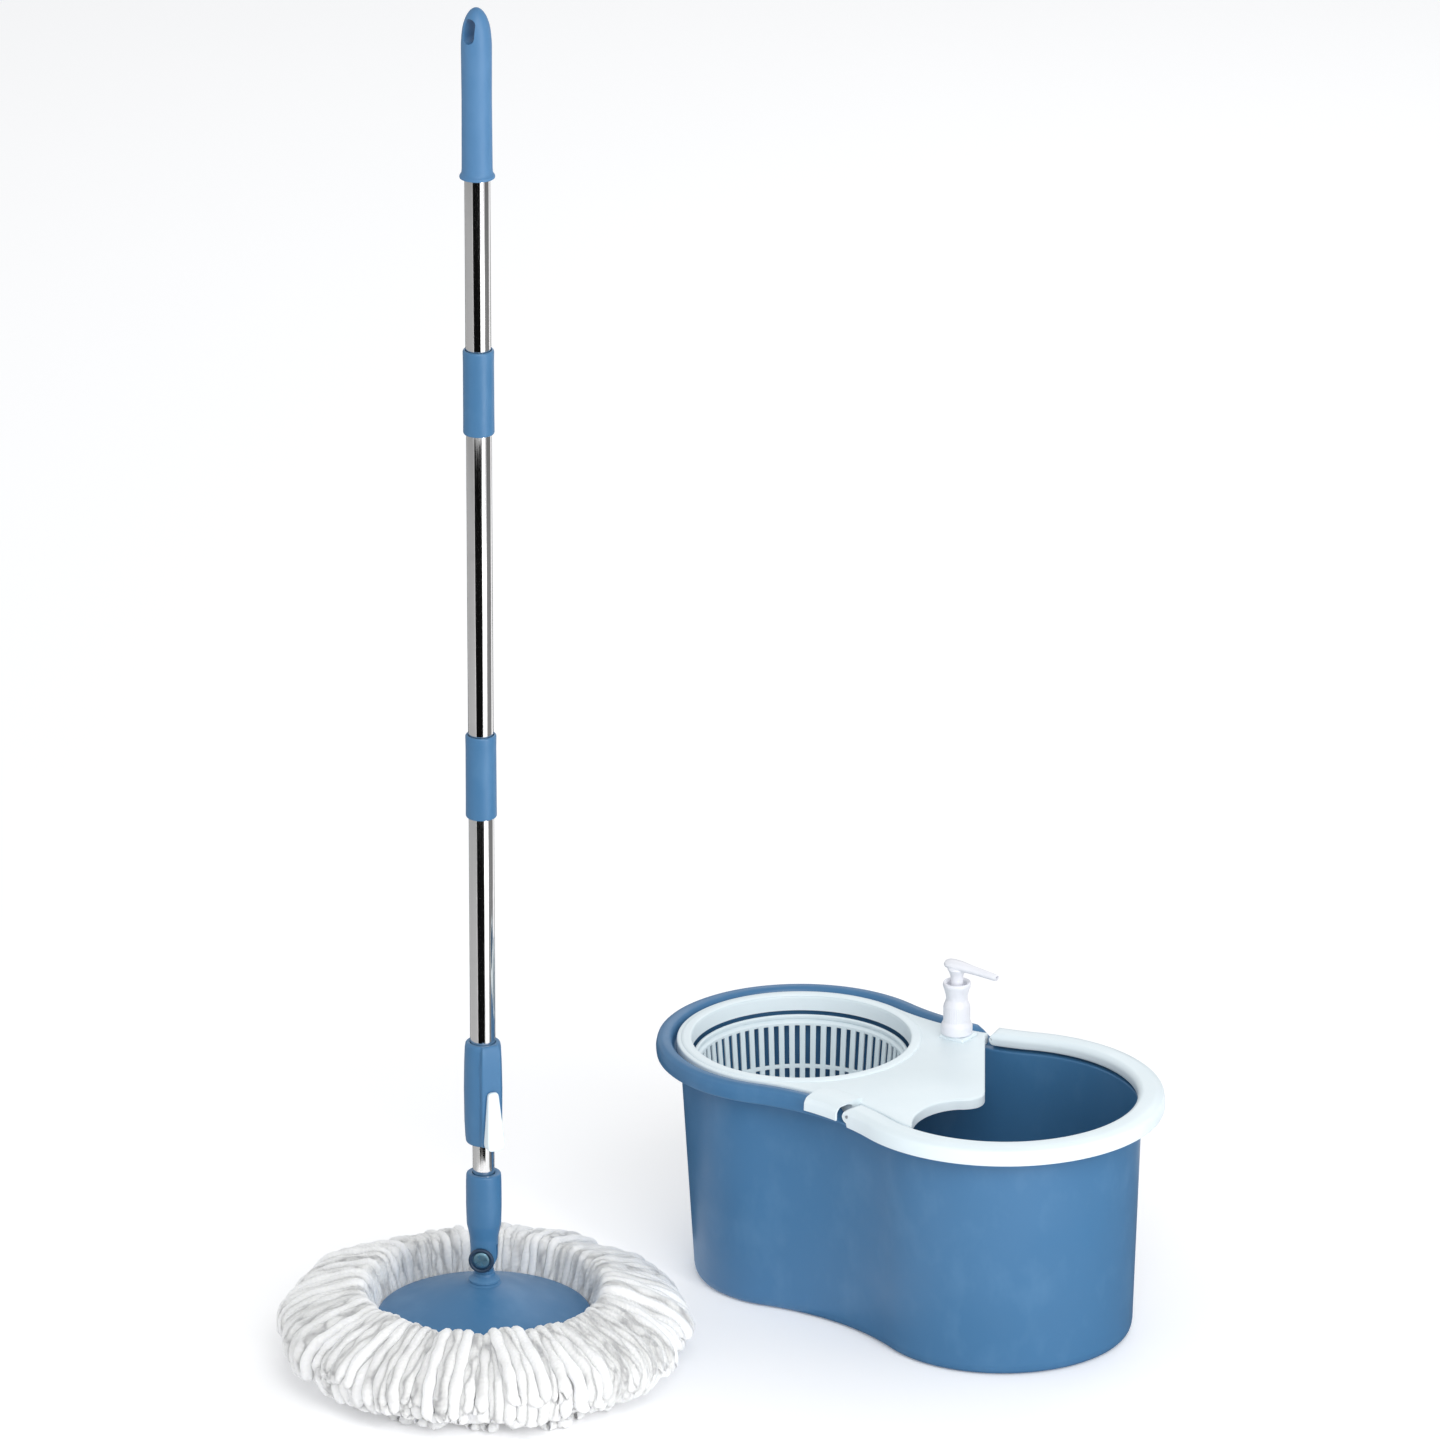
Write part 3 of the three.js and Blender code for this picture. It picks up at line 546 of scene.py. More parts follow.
LUG_R, LUG_HALF, LUG_FOOT = 3, 3.8, 208
for end in ("front", "back"):
    low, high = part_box("handle_pin_" + end)
    x, y, z = ((a + b) / 2 / MM for a, b in zip(low, high))
    lug = [(x + LUG_R * math.cos(a), z + LUG_R * math.sin(a)) for a in np.linspace(0, math.pi, 12)]
    lug += [(x - LUG_R, LUG_FOOT), (x + LUG_R, LUG_FOOT)]
    points = [(px, py, pz) for py in (y - LUG_HALF, y + LUG_HALF) for px, pz in lug]
    bevel(mesh_piece("handle_lug_" + end, points, prism_faces(len(lug)), blue, "bucket"), 0.5)

# ---------- basket ----------

BASKET_SLOTS = 60  # in each row
SLOT_PART = 0.47  # of the pitch
BASKET_WALL = 2.3


def basket_wall():
    """The drafted wall as a grid with its slots left open, thickened inwards."""
    levels = [(98.0, 79), (99.2, 81.9), (103, 84), (121, 85.6), (158, 89), (161.5, 89.3),
              (197.5, 92.5), (199, 92.6), (201, 95.8), (206, 95.8)]
    slot_rows = {3, 5}
    pitch = 2 * math.pi / BASKET_SLOTS
    cuts = [0, SLOT_PART * 0.5, SLOT_PART, SLOT_PART + (1 - SLOT_PART) / 2]
    angles = [(k + c) * pitch for k in range(BASKET_SLOTS) for c in cuts]
    columns = len(angles)
    points = [(r * math.cos(a) - LOBE, r * math.sin(a), z) for z, r in levels for a in angles]
    faces = []
    for row in range(len(levels) - 1):
        for c in range(columns):
            if row in slot_rows and c % len(cuts) < 2:
                continue
            d = (c + 1) % columns
            faces.append((row * columns + c, row * columns + d, (row + 1) * columns + d,
                          (row + 1) * columns + c))
    wall = mesh_piece("basket_wall", points, faces, white, "basket", "spin_basket")
    thick = wall.modifiers.new("thickness", "SOLIDIFY")
    thick.thickness = BASKET_WALL * MM
    thick.offset = -1
    thick.use_even_offset = True
    return bevel(wall, 0.45, 2, 40)


basket_wall()
lathe("basket_floor", [(11.9, 98.0), (79, 98.0), (80.5, 99.4), (78, 100.4), (60, 100.4), (58, 101.2),
                       (55, 101.2), (53, 100.4), (34, 100.4), (32, 101.2), (29, 101.2), (27, 100.4),
                       (11.9, 100.4)],
      white, "basket", centre=(-LOBE, 0), sides=96, radius=0.7, closed=True)
lathe("basket_lip_roll", [(95.6, 203.5), (95.8, 206.3), (94.2, 207), (92.2, 206.5), (92.2, 203)], white,
      "basket", centre=(-LOBE, 0), sides=128, radius=0.8, closed=True)
lathe("basket_cone", [(7.1, 96), (11.7, 96), (11.7, 100.9), (17.5, 100.9), (17.2, 104), (15.5, 118),
                      (10, 127), (4, 128.7), (0, 129)],
      white, "basket", "basket_hub", centre=(-LOBE, 0), sides=56)

# ---------- deck ----------


def bezier(p0, p1, p2, p3, steps):
    out = []
    for i in range(steps):
        t = i / steps
        out.append(tuple(
            (1 - t) ** 3 * a + 3 * t * (1 - t) ** 2 * b + 3 * t * t * (1 - t) * c + t**3 * d
            for a, b, c, d in zip(p0, p1, p2, p3)))
    return out


def waist_y(o, x):
    """How far from the X axis the outline's waist is at x."""
    wx, wy = waist_centre(*o)
    return wy - math.sqrt(o[2] ** 2 - (x - wx) ** 2)


HANDLE_OUTER = (128.6, 142.6, 210)
HANDLE_BORE = (104.5, 118.5, 234.1)
DECK_SEAM_X = 21  # where the deck's edge leaves the bucket's ledge
DECK_TIP_X = 91.5  # where it leaves the handle's bore at the front
EDGE_TURN, EDGE_END = (96, -10), (22, 98)  # the ends of the free edge's straight stretch


def grown(o, d):
    return o[0] + d, o[1] + d, o[2] - d


def free_edge():
    """The deck's edge over the rinse lobe, from the front rim to the back."""
    edge = bezier((93, -116), (74, -98), (68, -62), (88, -41), 22)
    edge += bezier((88, -41), (101.3, -32.3), (104, -22), EDGE_TURN, 10)
    run = [end - start for start, end in zip(EDGE_TURN, EDGE_END)]
    edge += [(EDGE_TURN[0] + run[0] * t, EDGE_TURN[1] + run[1] * t) for t in np.linspace(0, 1, 14)[:-1]]
    return edge


def deck_plan():
    """Counterclockwise: round the spin lobe from the back, along the front rim, and the free edge."""
    ledge = grown(WALL_TOP, 3.4)
    in_handle = grown(HANDLE_BORE, -1.5)
    seam = DECK_SEAM_X
    outer = [p for p in outline(*ledge, 90, 30) if p[0] < seam]
    start = max(range(len(outer)), key=lambda i: (outer[i][1] > 0, outer[i][0]))
    outer = outer[start:] + outer[:start]
    front = [p for p in outline(*in_handle, 120, 40) if p[1] < 0 and seam < p[0] < DECK_TIP_X]
    front.sort(key=lambda p: p[0])
    return ([(seam, waist_y(ledge, seam))] + outer
            + [(seam, -waist_y(ledge, seam)), (seam, -waist_y(in_handle, seam))]
            + front + free_edge()[2:] + [EDGE_END])


def inset(loop, d):
    """The loop moved inwards by d; the loop runs counterclockwise."""
    out = []
    n = len(loop)
    for i in range(n):
        (ax, ay), (bx, by) = loop[i - 1], loop[(i + 1) % n]
        tx, ty = bx - ax, by - ay
        length = math.hypot(tx, ty) or 1
        out.append((loop[i][0] - ty / length * d, loop[i][1] + tx / length * d))
    return out


def thinned(loop, gap):
    """The loop without the points that lie within the gap of the one before."""
    kept = [loop[0]]
    for p in loop[1:]:
        if math.dist(p, kept[-1]) > gap:
            kept.append(p)
    if math.dist(kept[0], kept[-1]) < gap:
        kept.pop()
    return kept


DECK_Z = 223
DECK_WALL = 2.2
DECK_LIP = 1.6  # the radius that its edges roll over
SKIRT_FOOT, HOLE_FOOT = 213.6, 209.5
HOLE = 97.2  # the radius of the opening over the basket


def circle(cx, cy, r, sides):
    return [(cx + r * math.cos(2 * math.pi * i / sides), cy + r * math.sin(2 * math.pi * i / sides))
            for i in range(sides)]


def deck_plate():
    """A flat plate whose edges roll down into a skirt all round; the hole's wall goes lower."""
    def edge_rows(loop, sign, foot):
        rows = []
        for a in np.linspace(0, math.pi / 2, 5):
            rows.append((inset(loop, sign * DECK_LIP * (1 - math.sin(a))),
                         DECK_Z - DECK_LIP * (1 - math.cos(a))))
        rows.append((loop, foot))
        rows.append((inset(loop, sign * DECK_WALL), foot))
        rows.append((inset(loop, sign * DECK_WALL), DECK_Z - DECK_WALL))
        return rows

    points, faces = [], []

    def add_rows(rows, flip):
        first = len(points)
        n = len(rows[0][0])
        for loop, z in rows:
            points.extend((x, y, z) for x, y in loop)
        for r in range(len(rows) - 1):
            for i in range(n):
                j = (i + 1) % n
                a, b = first + r * n + i, first + r * n + j
                face = (a, b, b + n, a + n)
                faces.append(face[::-1] if flip else face)
        return first, n

    outer_rows = edge_rows(thinned(deck_plan(), 1.5), 1, SKIRT_FOOT)
    outer = add_rows(outer_rows, True)
    inner = add_rows(edge_rows(circle(-LOBE, 0, HOLE, 144), -1, HOLE_FOOT), False)
    for level in (0, len(outer_rows) - 1):
        ring_points, ring_edges = [], []
        for first, n in (outer, inner):
            base = len(ring_points)
            start = first + level * n
            ring_points += [start + i for i in range(n)]
            ring_edges += [(base + i, base + (i + 1) % n) for i in range(n)]
        bm = bmesh.new()
        verts = [bm.verts.new(points[k]) for k in ring_points]
        for a, b in ring_edges:
            bm.edges.new((verts[a], verts[b]))
        made = bmesh.ops.triangle_fill(bm, edges=bm.edges[:], use_beauty=True, use_dissolve=False)
        index = {v: k for v, k in zip(verts, ring_points)}
        for face in [g for g in made["geom"] if isinstance(g, bmesh.types.BMFace)]:
            corners = tuple(index[v] for v in face.verts)
            up = (face.normal.z > 0) == (level == 0)
            faces.append(corners if up else corners[::-1])
        bm.free()
    return mesh_piece("deck_plate", points, faces, white, "deck", "deck_tray", sharp=30)


deck_plate()
lathe("deck_ring", [(97.3, 222.5), (97.6, 223.8), (98.8, 224.2), (104.6, 224.2), (106.4, 223.6),
                    (107, 222.4)], white, "deck", centre=(-LOBE, 0), sides=160,
      radius=0.6, closed=True)


def waist_station(o, x, side):
    """A point on the outline's front (side -1) or back (side 1) waist, and its outward normal."""
    wx, wy = waist_centre(*o)
    y = side * waist_y(o, x)
    nx, ny = wx - x, side * wy - y
    length = math.hypot(nx, ny)
    return x, y, nx / length, ny / length


def deck_clip():
    """The clip over the front rim: a section of [outward, height] carried along the waist."""
    section = rounded([(-8, 221.5), (-8, 226.2), (-6.6, 226.9), (10, 226.9), (20.5, 225.4), (24.2, 221.5),
                       (24.7, 213.5), (22.5, 213.5), (22.4, 220.5), (19, 224.9), (9, 225.1),
                       (4, 223.4), (3.4, 221.5)], 1.4, 3, closed=True)
    stations = [waist_station(WALL_TOP, x, -1) for x in np.linspace(-20, 20.6, 12)]
    points = [(x + nx * d, y + ny * d, z) for x, y, nx, ny in stations for d, z in section]
    return mesh_piece("deck_clip", points, capped_faces(len(stations), len(section)), white, "deck")


deck_clip()

# ---------- carry handle ----------

swing = joints["handle_swing"]["pos_m"]
PIVOT_X, PIVOT_Z = swing[0] / MM, swing[2] / MM
END_R = 6  # the radius of the handle's rounded ends


def handle_channel():
    """The channel section carried round the rinse lobe, drawn in to rounded ends at the pivots."""
    section = rounded([(-24.1, 214), (-24.1, 221.4), (-20.6, 225), (-7.5, 225), (-1.2, 222.6),
                       (0, 217.5), (0, 209.5), (-1.2, 209.5), (-1.8, 216.5), (-3, 220.6), (-8, 222.8),
                       (-20, 222.8), (-21.9, 220.6), (-21.9, 214)], 2.4, 4, closed=True)
    o = HANDLE_OUTER
    wx, wy = waist_centre(*o)
    to_rinse = math.atan2(wy, wx - LOBE)
    xs = [PIVOT_X - END_R * math.cos(a) for a in np.linspace(0.08, math.pi / 2, 10)]
    join_x = LOBE + o[1] * math.cos(to_rinse)
    xs += list(np.linspace(PIVOT_X, join_x, 14)[1:-1])
    back = [waist_station(o, x, 1) for x in xs]
    lobe = [(LOBE + o[1] * math.cos(a), o[1] * math.sin(a), math.cos(a), math.sin(a))
            for a in np.linspace(-to_rinse, to_rinse, 110)]
    stations = [(x, -y, nx, -ny) for x, y, nx, ny in back] + lobe + back[::-1]
    points = []
    for x, y, nx, ny in stations:
        reach = math.sqrt(max(0.0, END_R**2 - (PIVOT_X - x) ** 2))
        for d, z in section:
            if x < PIVOT_X:
                z = min(max(z, PIVOT_Z - reach), PIVOT_Z + reach)
            points.append((x + nx * d, y + ny * d, z))
    return mesh_piece("handle_channel", points, capped_faces(len(stations), len(section)), white,
                      "handle", "carry_handle", sharp=45)


handle_channel()

# ---------- soap pump ----------

pump_at = middle("pump_collar") / MM
PUMP = (pump_at.x, pump_at.y)
RIBS, RIB_DEPTH = 36, 0.025  # the depth is a share of the closure's radius
RIB_FOOT, RIB_TOP, RIB_INSIDE = 238, 252.5, 11.2  # only the outer wall between these is ribbed
STEM_FOOT = 239  # clear of the pad and the spring when the head is down


def pump_closure():
    """Boss, threaded closure with grip ribs, waist and the cup round the stem."""
    profile = [(7.7, 206), (9.2, 206), (9.2, 226.3), (13.4, 226.3), (14, 227.2), (14, 234), (13.2, 236),
               (12, 238), (12, 252), (10.6, 255.6), (9.6, 258.5), (9.7, 262), (11, 267), (12.6, 272),
               (12.2, 274.6), (11.2, 275), (9, 273.4), (8.8, 268), (5.9, 268), (5.9, 238), (7.7, 238)]
    piece = lathe("pump_closure", profile, pump_white, "deck", "pump_collar",
                  centre=PUMP, sides=144, radius=0.9, closed=True)
    for vertex in piece.data.vertices:
        x, y, z = vertex.co.x - PUMP[0] * MM, vertex.co.y - PUMP[1] * MM, vertex.co.z / MM
        if math.hypot(x, y) > RIB_INSIDE * MM and RIB_FOOT < z < RIB_TOP:
            ripple = 1 - RIB_DEPTH * (0.5 + 0.5 * math.cos(RIBS * math.atan2(y, x)))
            vertex.co.x = PUMP[0] * MM + x * ripple
            vertex.co.y = PUMP[1] * MM + y * ripple
    return piece


def pump_actuator():
    """A head that runs out level into its spout, as lofted oval sections."""
    turn = math.radians(-1)
    sections = []
    ovals = [(-11.7, 290.4, 1.4, 1.2), (-11.2, 290.4, 4.4, 2.8), (-9, 290.4, 6.4, 3.8),
             (-4, 290.4, 7.5, 4.1), (2, 290.3, 7.4, 4.1), (9, 290.0, 6.1, 3.9), (18, 289.6, 4.8, 3.6),
             (30, 289.0, 4.1, 3.3), (40, 288.4, 3.7, 3.1), (43, 288.2, 3.3, 2.7), (43.2, 288.2, 2.2, 1.9),
             (38, 288.5, 1.9, 1.7)]
    for x, z, half_y, half_z in ovals:
        ring = []
        for a in np.linspace(0, 2 * math.pi, 33)[:-1]:
            y, up = half_y * math.cos(a), half_z * math.sin(a)
            px = x * math.cos(turn) - y * math.sin(turn)
            py = x * math.sin(turn) + y * math.cos(turn)
            ring.append((PUMP[0] + px, PUMP[1] + py, z + up))
        sections.append(ring)
    points = [p for ring in sections for p in ring]
    n = len(sections[0])
    faces = grid_faces(len(sections), n)
    faces.append(tuple(range(n - 1, -1, -1)))
    faces.append(tuple(range(len(points) - n, len(points))))
    return mesh_piece("pump_spout", points, faces, pump_white, "pump_plunger", "pump_head",
                      sharp=50)


def pump_boss():
    """The raised pad of the deck that the pump screws down on."""
    low, high, draft = (-9, 70), (17, 95), 0.8
    corners = []
    for z, d in ((222.6, 0), (226, draft)):
        corners += [(low[0] + d, low[1] + d, z), (high[0] - d, low[1] + d, z),
                    (high[0] - d, high[1] - d, z), (low[0] + d, high[1] - d, z)]
    boss = mesh_piece("pump_boss", corners, prism_faces(4), white, "deck")
    return bevel(boss, 1.3, 4)


pump_closure()
pump_actuator()
pump_boss()
lathe("pump_stem", [(0, STEM_FOOT), (5.5, STEM_FOOT), (5.5, 276), (5.7, 280), (6.8, 284), (9, 287.4),
                    (7, 289.5), (0, 289.5)],
      pump_white, "pump_plunger", centre=PUMP, sides=48, radius=2)

# ---------- mop head ----------

lathe("mop_dish", [(0, 82), (14, 80.6), (32, 75), (62, 63.9), (84, 54.9), (91.5, 51.7), (94, 50),
                   (94, 48.4), (92.4, 47.5), (90, 48), (83, 51.2), (61, 60.4), (31, 71.4), (0, 78)],
      blue, "mop_head", "mop_disc", MOP, sides=128, radius=2.4, steps=4, sharp=60)

YARN_OVER = [(84, 40), (91, 44), (96, 56), (99, 70), (104, 80), (112, 82), (124, 79), (150, 70.5),
             (168, 62), (178, 53), (183, 40), (181, 25), (173, 12), (160, 5)]
YARN_UNDER = [(50, 27), (56, 15), (70, 8), (100, 5.5), (135, 5.5), (160, 8)]
# Layers, as the depth under the outline, the tufts, the share of it that they reach, and the radius.
OVER_LAYERS = [(5.6, 33, (0.72, 0.9), 5.6), (10.5, 31, (0.86, 0.98), 5.6), (17, 30, (0.95, 1.0), 5.4),
               (24, 28, (0.95, 1.0), 5.0)]
UNDER_LAYER = (0, 30, (0.85, 1.0), 4.2)
TUFT_LOOPS = 2
TUFT_CROWN = (-5.5, 3.6)  # how far a tuft stands proud
TUFT_LEAN = 0.07  # radians
YARN_SIDES = 10
TWIST_PITCH = 13.0


def even_curve(curve):
    """Points 1 mm apart along a rounded [radius, height] curve, with unit normals to its right."""
    p = np.array(rounded(curve, 10, 5))
    along = np.concatenate([[0], np.cumsum(np.linalg.norm(np.diff(p, axis=0), axis=1))])
    even = np.arange(0, along[-1], 1.0)
    at = np.column_stack([np.interp(even, along, p[:, k]) for k in (0, 1)])
    tangent = np.gradient(at, axis=0)
    tangent /= np.linalg.norm(tangent, axis=1)[:, None]
    return at, np.column_stack([tangent[:, 1], -tangent[:, 0]])


def tube_mesh(paths, sides, twist_pitch):
    """Tubes along many paths as one mesh; each path is (points, radii). UV runs with the twist."""
    all_points, all_faces, all_uv = [], [], []
    angles = np.linspace(0, 2 * math.pi, sides, endpoint=False)
    base = 0
    for points, radii in paths:
        p = np.array(points)
        tangent = np.gradient(p, axis=0)
        tangent /= np.linalg.norm(tangent, axis=1)[:, None]
        radial = p * (1, 1, 0)
        radial /= np.linalg.norm(radial, axis=1)[:, None]
        around = np.column_stack([-radial[:, 1], radial[:, 0], np.zeros(len(p))])
        side = around - tangent * np.sum(around * tangent, axis=1)[:, None]
        short = np.linalg.norm(side, axis=1) < 0.3
        side[short] = np.cross(tangent, (0, 0, 1))[short] * 0.999
        side /= np.linalg.norm(side, axis=1)[:, None] + 1e-9
        lift = np.cross(side, tangent)
        ring = (p[:, None, :] + np.array(radii)[:, None, None]
                * (np.cos(angles)[None, :, None] * side[:, None, :]
                   + np.sin(angles)[None, :, None] * lift[:, None, :]))
        length = np.concatenate([[0], np.cumsum(np.linalg.norm(np.diff(p, axis=0), axis=1))])
        rows = len(p)
        all_points.append(ring.reshape(-1, 3))
        for r in range(rows - 1):
            for c in range(sides):
                d = (c + 1) % sides
                a = base + r * sides
                all_faces.append((a + c, a + d, a + sides + d, a + sides + c))
                u0, u1 = c / sides, (c + 1) / sides
                v0, v1 = length[r] / twist_pitch, length[r + 1] / twist_pitch
                all_uv += [(u0 + v0, v0), (u1 + v0, v0), (u1 + v1, v1), (u0 + v1, v1)]
        all_faces.append(tuple(base + c for c in range(sides - 1, -1, -1)))
        all_uv += [(0, 0)] * sides
        end = base + (rows - 1) * sides
        all_faces.append(tuple(end + c for c in range(sides)))
        all_uv += [(0, 0)] * sides
        base += rows * sides
    return np.concatenate(all_points), all_faces, all_uv


def yarn_loop(curve, depth, root, tip, reach, radius, crown):
    """One loop of yarn: out along the curve, round its end, and back beside itself."""
    at, normal = curve
    bend = radius * 1.05
    leg = np.linspace(0, reach - bend, 26)
    turn = np.linspace(-math.pi / 2, math.pi / 2, 8)[1:-1]
    s = np.concatenate([leg, reach - bend + bend * np.cos(turn), leg[::-1]])
    half = radius * (0.6 + 0.42 * leg / reach)
    side = np.concatenate([-half, half[-1] * np.sin(turn), half[::-1]])
    t = s / reach
    steps = np.arange(len(at))
    r, z = (np.interp(s, steps, at[:, k]) for k in (0, 1))
    normal_r, normal_z = (np.interp(s, steps, normal[:, k]) for k in (0, 1))
    sway, phase = rng.uniform(0.6, 1.8), rng.uniform(0, 2 * math.pi)
    sunk = depth - crown * np.clip(2.2 * t, 0, 1) + sway * t * np.sin(9 * t + phase + np.sign(side))
    r = r + normal_r * sunk
    z = np.maximum(z + normal_z * sunk, radius + 0.3)
    ease = t * t * (3 - 2 * t)
    angle = root + (tip - root) * ease + (side + 1.3 * sway * t * np.sin(6 * t + phase)) / r
    lumps = (1 + 0.1 * np.sin(np.arange(len(s)) * rng.uniform(0.8, 1.4) + phase)
             + rng.normal(0, 0.02, len(s)))
    points = np.column_stack([r * np.cos(angle), r * np.sin(angle), z])
    return points, radius * (0.74 + 0.26 * np.clip(3 * t, 0, 1)) * lumps


def yarn_layer(curve, depth, tufts, share, radius):
    """Tufts of loops side by side, each tuft with its own height, reach and lean."""
    total = len(curve[0]) - 1
    width = 2 * math.pi / tufts
    shift = rng.uniform(0, width)
    paths = []
    for tuft in range(tufts):
        centre = shift + (tuft + rng.uniform(-0.16, 0.16)) * width
        tuft_crown, lean = rng.uniform(*TUFT_CROWN), rng.uniform(-TUFT_LEAN, TUFT_LEAN)
        tuft_share = rng.uniform(*share)
        for k in range(TUFT_LOOPS):
            u = (k + 0.5) / TUFT_LOOPS - 0.5 + rng.uniform(-0.05, 0.05)
            crown = tuft_crown + 3.6 * math.cos(math.pi * u) - 2.4 + rng.uniform(-0.8, 0.8)
            reach = total * tuft_share - 34 * u * u + rng.uniform(-4, 2)
            root, tip = centre + u * width, centre + lean + 0.84 * u * width
            paths.append(yarn_loop(curve, depth, root, tip, min(reach, total),
                                   radius * rng.uniform(0.93, 1.07), crown))
    return paths


def yarn_strands():
    over, under = even_curve(YARN_OVER), even_curve(YARN_UNDER)
    paths = [path for layer in OVER_LAYERS for path in yarn_layer(over, *layer)]
    paths += yarn_layer(under, *UNDER_LAYER)
    points, faces, uv = tube_mesh(paths, YARN_SIDES, TWIST_PITCH)
    strands = mesh_piece("yarn_strands", points, faces, yarn, "mop_head", "yarn_head",
                         MOP, sharp=80)
    layer = strands.data.uv_layers.new(name="twist")
    layer.data.foreach_set("uv", np.array(uv, np.float32).ravel())
    return strands


def yarn_bed():
    """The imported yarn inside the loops, so that no gap shows through to the floor."""
    profile = [(49, 7), (70, 4), (138, 3), (148, 9), (156, 24), (154, 40), (142, 52), (120, 61),
               (110, 61), (102, 52), (92, 34), (84, 27), (49, 27)]
    curve = rounded(profile, 6, 3, closed=True)
    sides = 220
    points = []
    for r, z in curve:
        for i in range(sides):
            a = 2 * math.pi * i / sides
            spot = Vector((math.cos(a) * 14, math.sin(a) * 14, z * 0.06))
            rumple = noise.noise(spot) if r > 84 else 0
            rr = r + 3.5 * rumple
            points.append((rr * math.cos(a), rr * math.sin(a), max(0.8, z + 3 * rumple)))
    faces = grid_faces(len(curve), sides, wrap_rows=True)
    bed = mesh_piece("yarn_bed", points, faces, yarn, "mop_head", matrix=MOP,
                     sharp=80)
    layer = bed.data.uv_layers.new(name="twist")
    for loop in bed.data.loops:
        column, row = loop.vertex_index % sides, loop.vertex_index // sides
        layer.data[loop.index].uv = (column * 0.5, row * 0.2)
    return bed


yarn_strands()
yarn_bed()

# ---------- swivel and tilting socket ----------

lathe("swivel_collar", [(0, 80.2), (16, 80.2), (12, 82.5), (10, 86), (9.3, 90), (0, 90)], blue,
      "mop_head", matrix=MOP, sides=48)
FORK_REACH, FORK_HALF = 20, 4.3  # the cut's half sizes across the pole


def socket_body():
    """The socket's barrel with the fork cut into its lower end."""
    foot, top = heights("pivot_socket")
    profile = [(9.8, top), (14.2, top), (15.2, top - 1.2), (15.5, top - 8), (15.6, top - 30),
               (15.1, top - 48), (13.4, top - 56), (12.5, top - 61), (12.2, top - 70), (12.2, TILT_Z),
               (11.7, TILT_Z - 4), (9.8, TILT_Z - 8.6), (6.4, foot + 0.9), (0, foot + 0.2)]
    piece = lathe("socket_barrel", [(0, 178), (9.8, 178)] + profile, blue, "rod", "pivot_socket",
                  MOP, sides=72, radius=1.2)
    corners = [(sx * FORK_REACH, sy * FORK_HALF, z) for z in (TILT_Z - 20, TILT_Z + 12)
               for sx, sy in ((-1, -1), (1, -1), (1, 1), (-1, 1))]
    return cut(piece, corners, prism_faces(4), MOP)


socket_body()
BOLT = MOP @ Matrix.Translation((0, 0, TILT_Z * MM)) @ Matrix.Rotation(math.pi / 2, 4, "X")


def bolt_with_cross():
    """Pan-headed bolt with a cross recess, and its riveted far end."""
    profile = [(0, 14.6), (5.2, 14.5), (7.4, 13.8), (8.1, 12.6), (3, 12.6), (3, -12.6), (6.5, -12.6),
               (6.3, -14.2), (5, -15), (0, -15)]
    bolt = lathe("bolt_head", profile, bolt_blue, "rod", "tilt_bolt", BOLT, sides=64, radius=0.7)
    arm, half, floor_z, clear_z = 5.4, 1.2, 12.9, 16
    plan = [(half, half), (half, arm), (-half, arm), (-half, half), (-arm, half), (-arm, -half),
            (-half, -half), (-half, -arm), (half, -arm), (half, -half), (arm, -half), (arm, half)]
    corners = [(x, y, z) for z in (floor_z, clear_z) for x, y in plan]
    turned = BOLT @ Matrix.Rotation(math.radians(20), 4, "Z")
    return cut(bolt, corners, prism_faces(len(plan)), turned)


bolt_with_cross()
lathe("bolt_rim", [(8.3, 12.3), (11.1, 12.3), (11.4, 13.6), (11, 15.2), (9.4, 15.8), (8.3, 14.8)],
      blue_dark, "rod", matrix=BOLT, sides=56, radius=0.5, closed=True)

# ---------- pole ----------


def tube(node, inner, outer, body):
    z0, z1 = heights(node)
    return lathe(node + "_wall", [(inner, z0), (outer, z0), (outer, z1), (inner, z1)], chrome, body,
                 node, MOP, sides=72, radius=0.3, steps=2, closed=True)


for node in ("lower_tube", "middle_tube", "upper_tube"):
    tube(node, 10.3, 11, "pole")
tube("inner_tube", 8.5, 9.5, "rod")

for node in ("lower_sleeve", "upper_sleeve"):
    z0, z1 = heights(node)
    lathe(node + "_shell", [(11.3, z0), (12.7, z0), (13.5, z0 + 1.2), (13.4, z0 + 12), (13.3, z1 - 12),
                            (13.5, z1 - 1.2), (12.7, z1), (11.3, z1)],
          blue, "pole", node, MOP, sides=64, radius=0.9, closed=True)


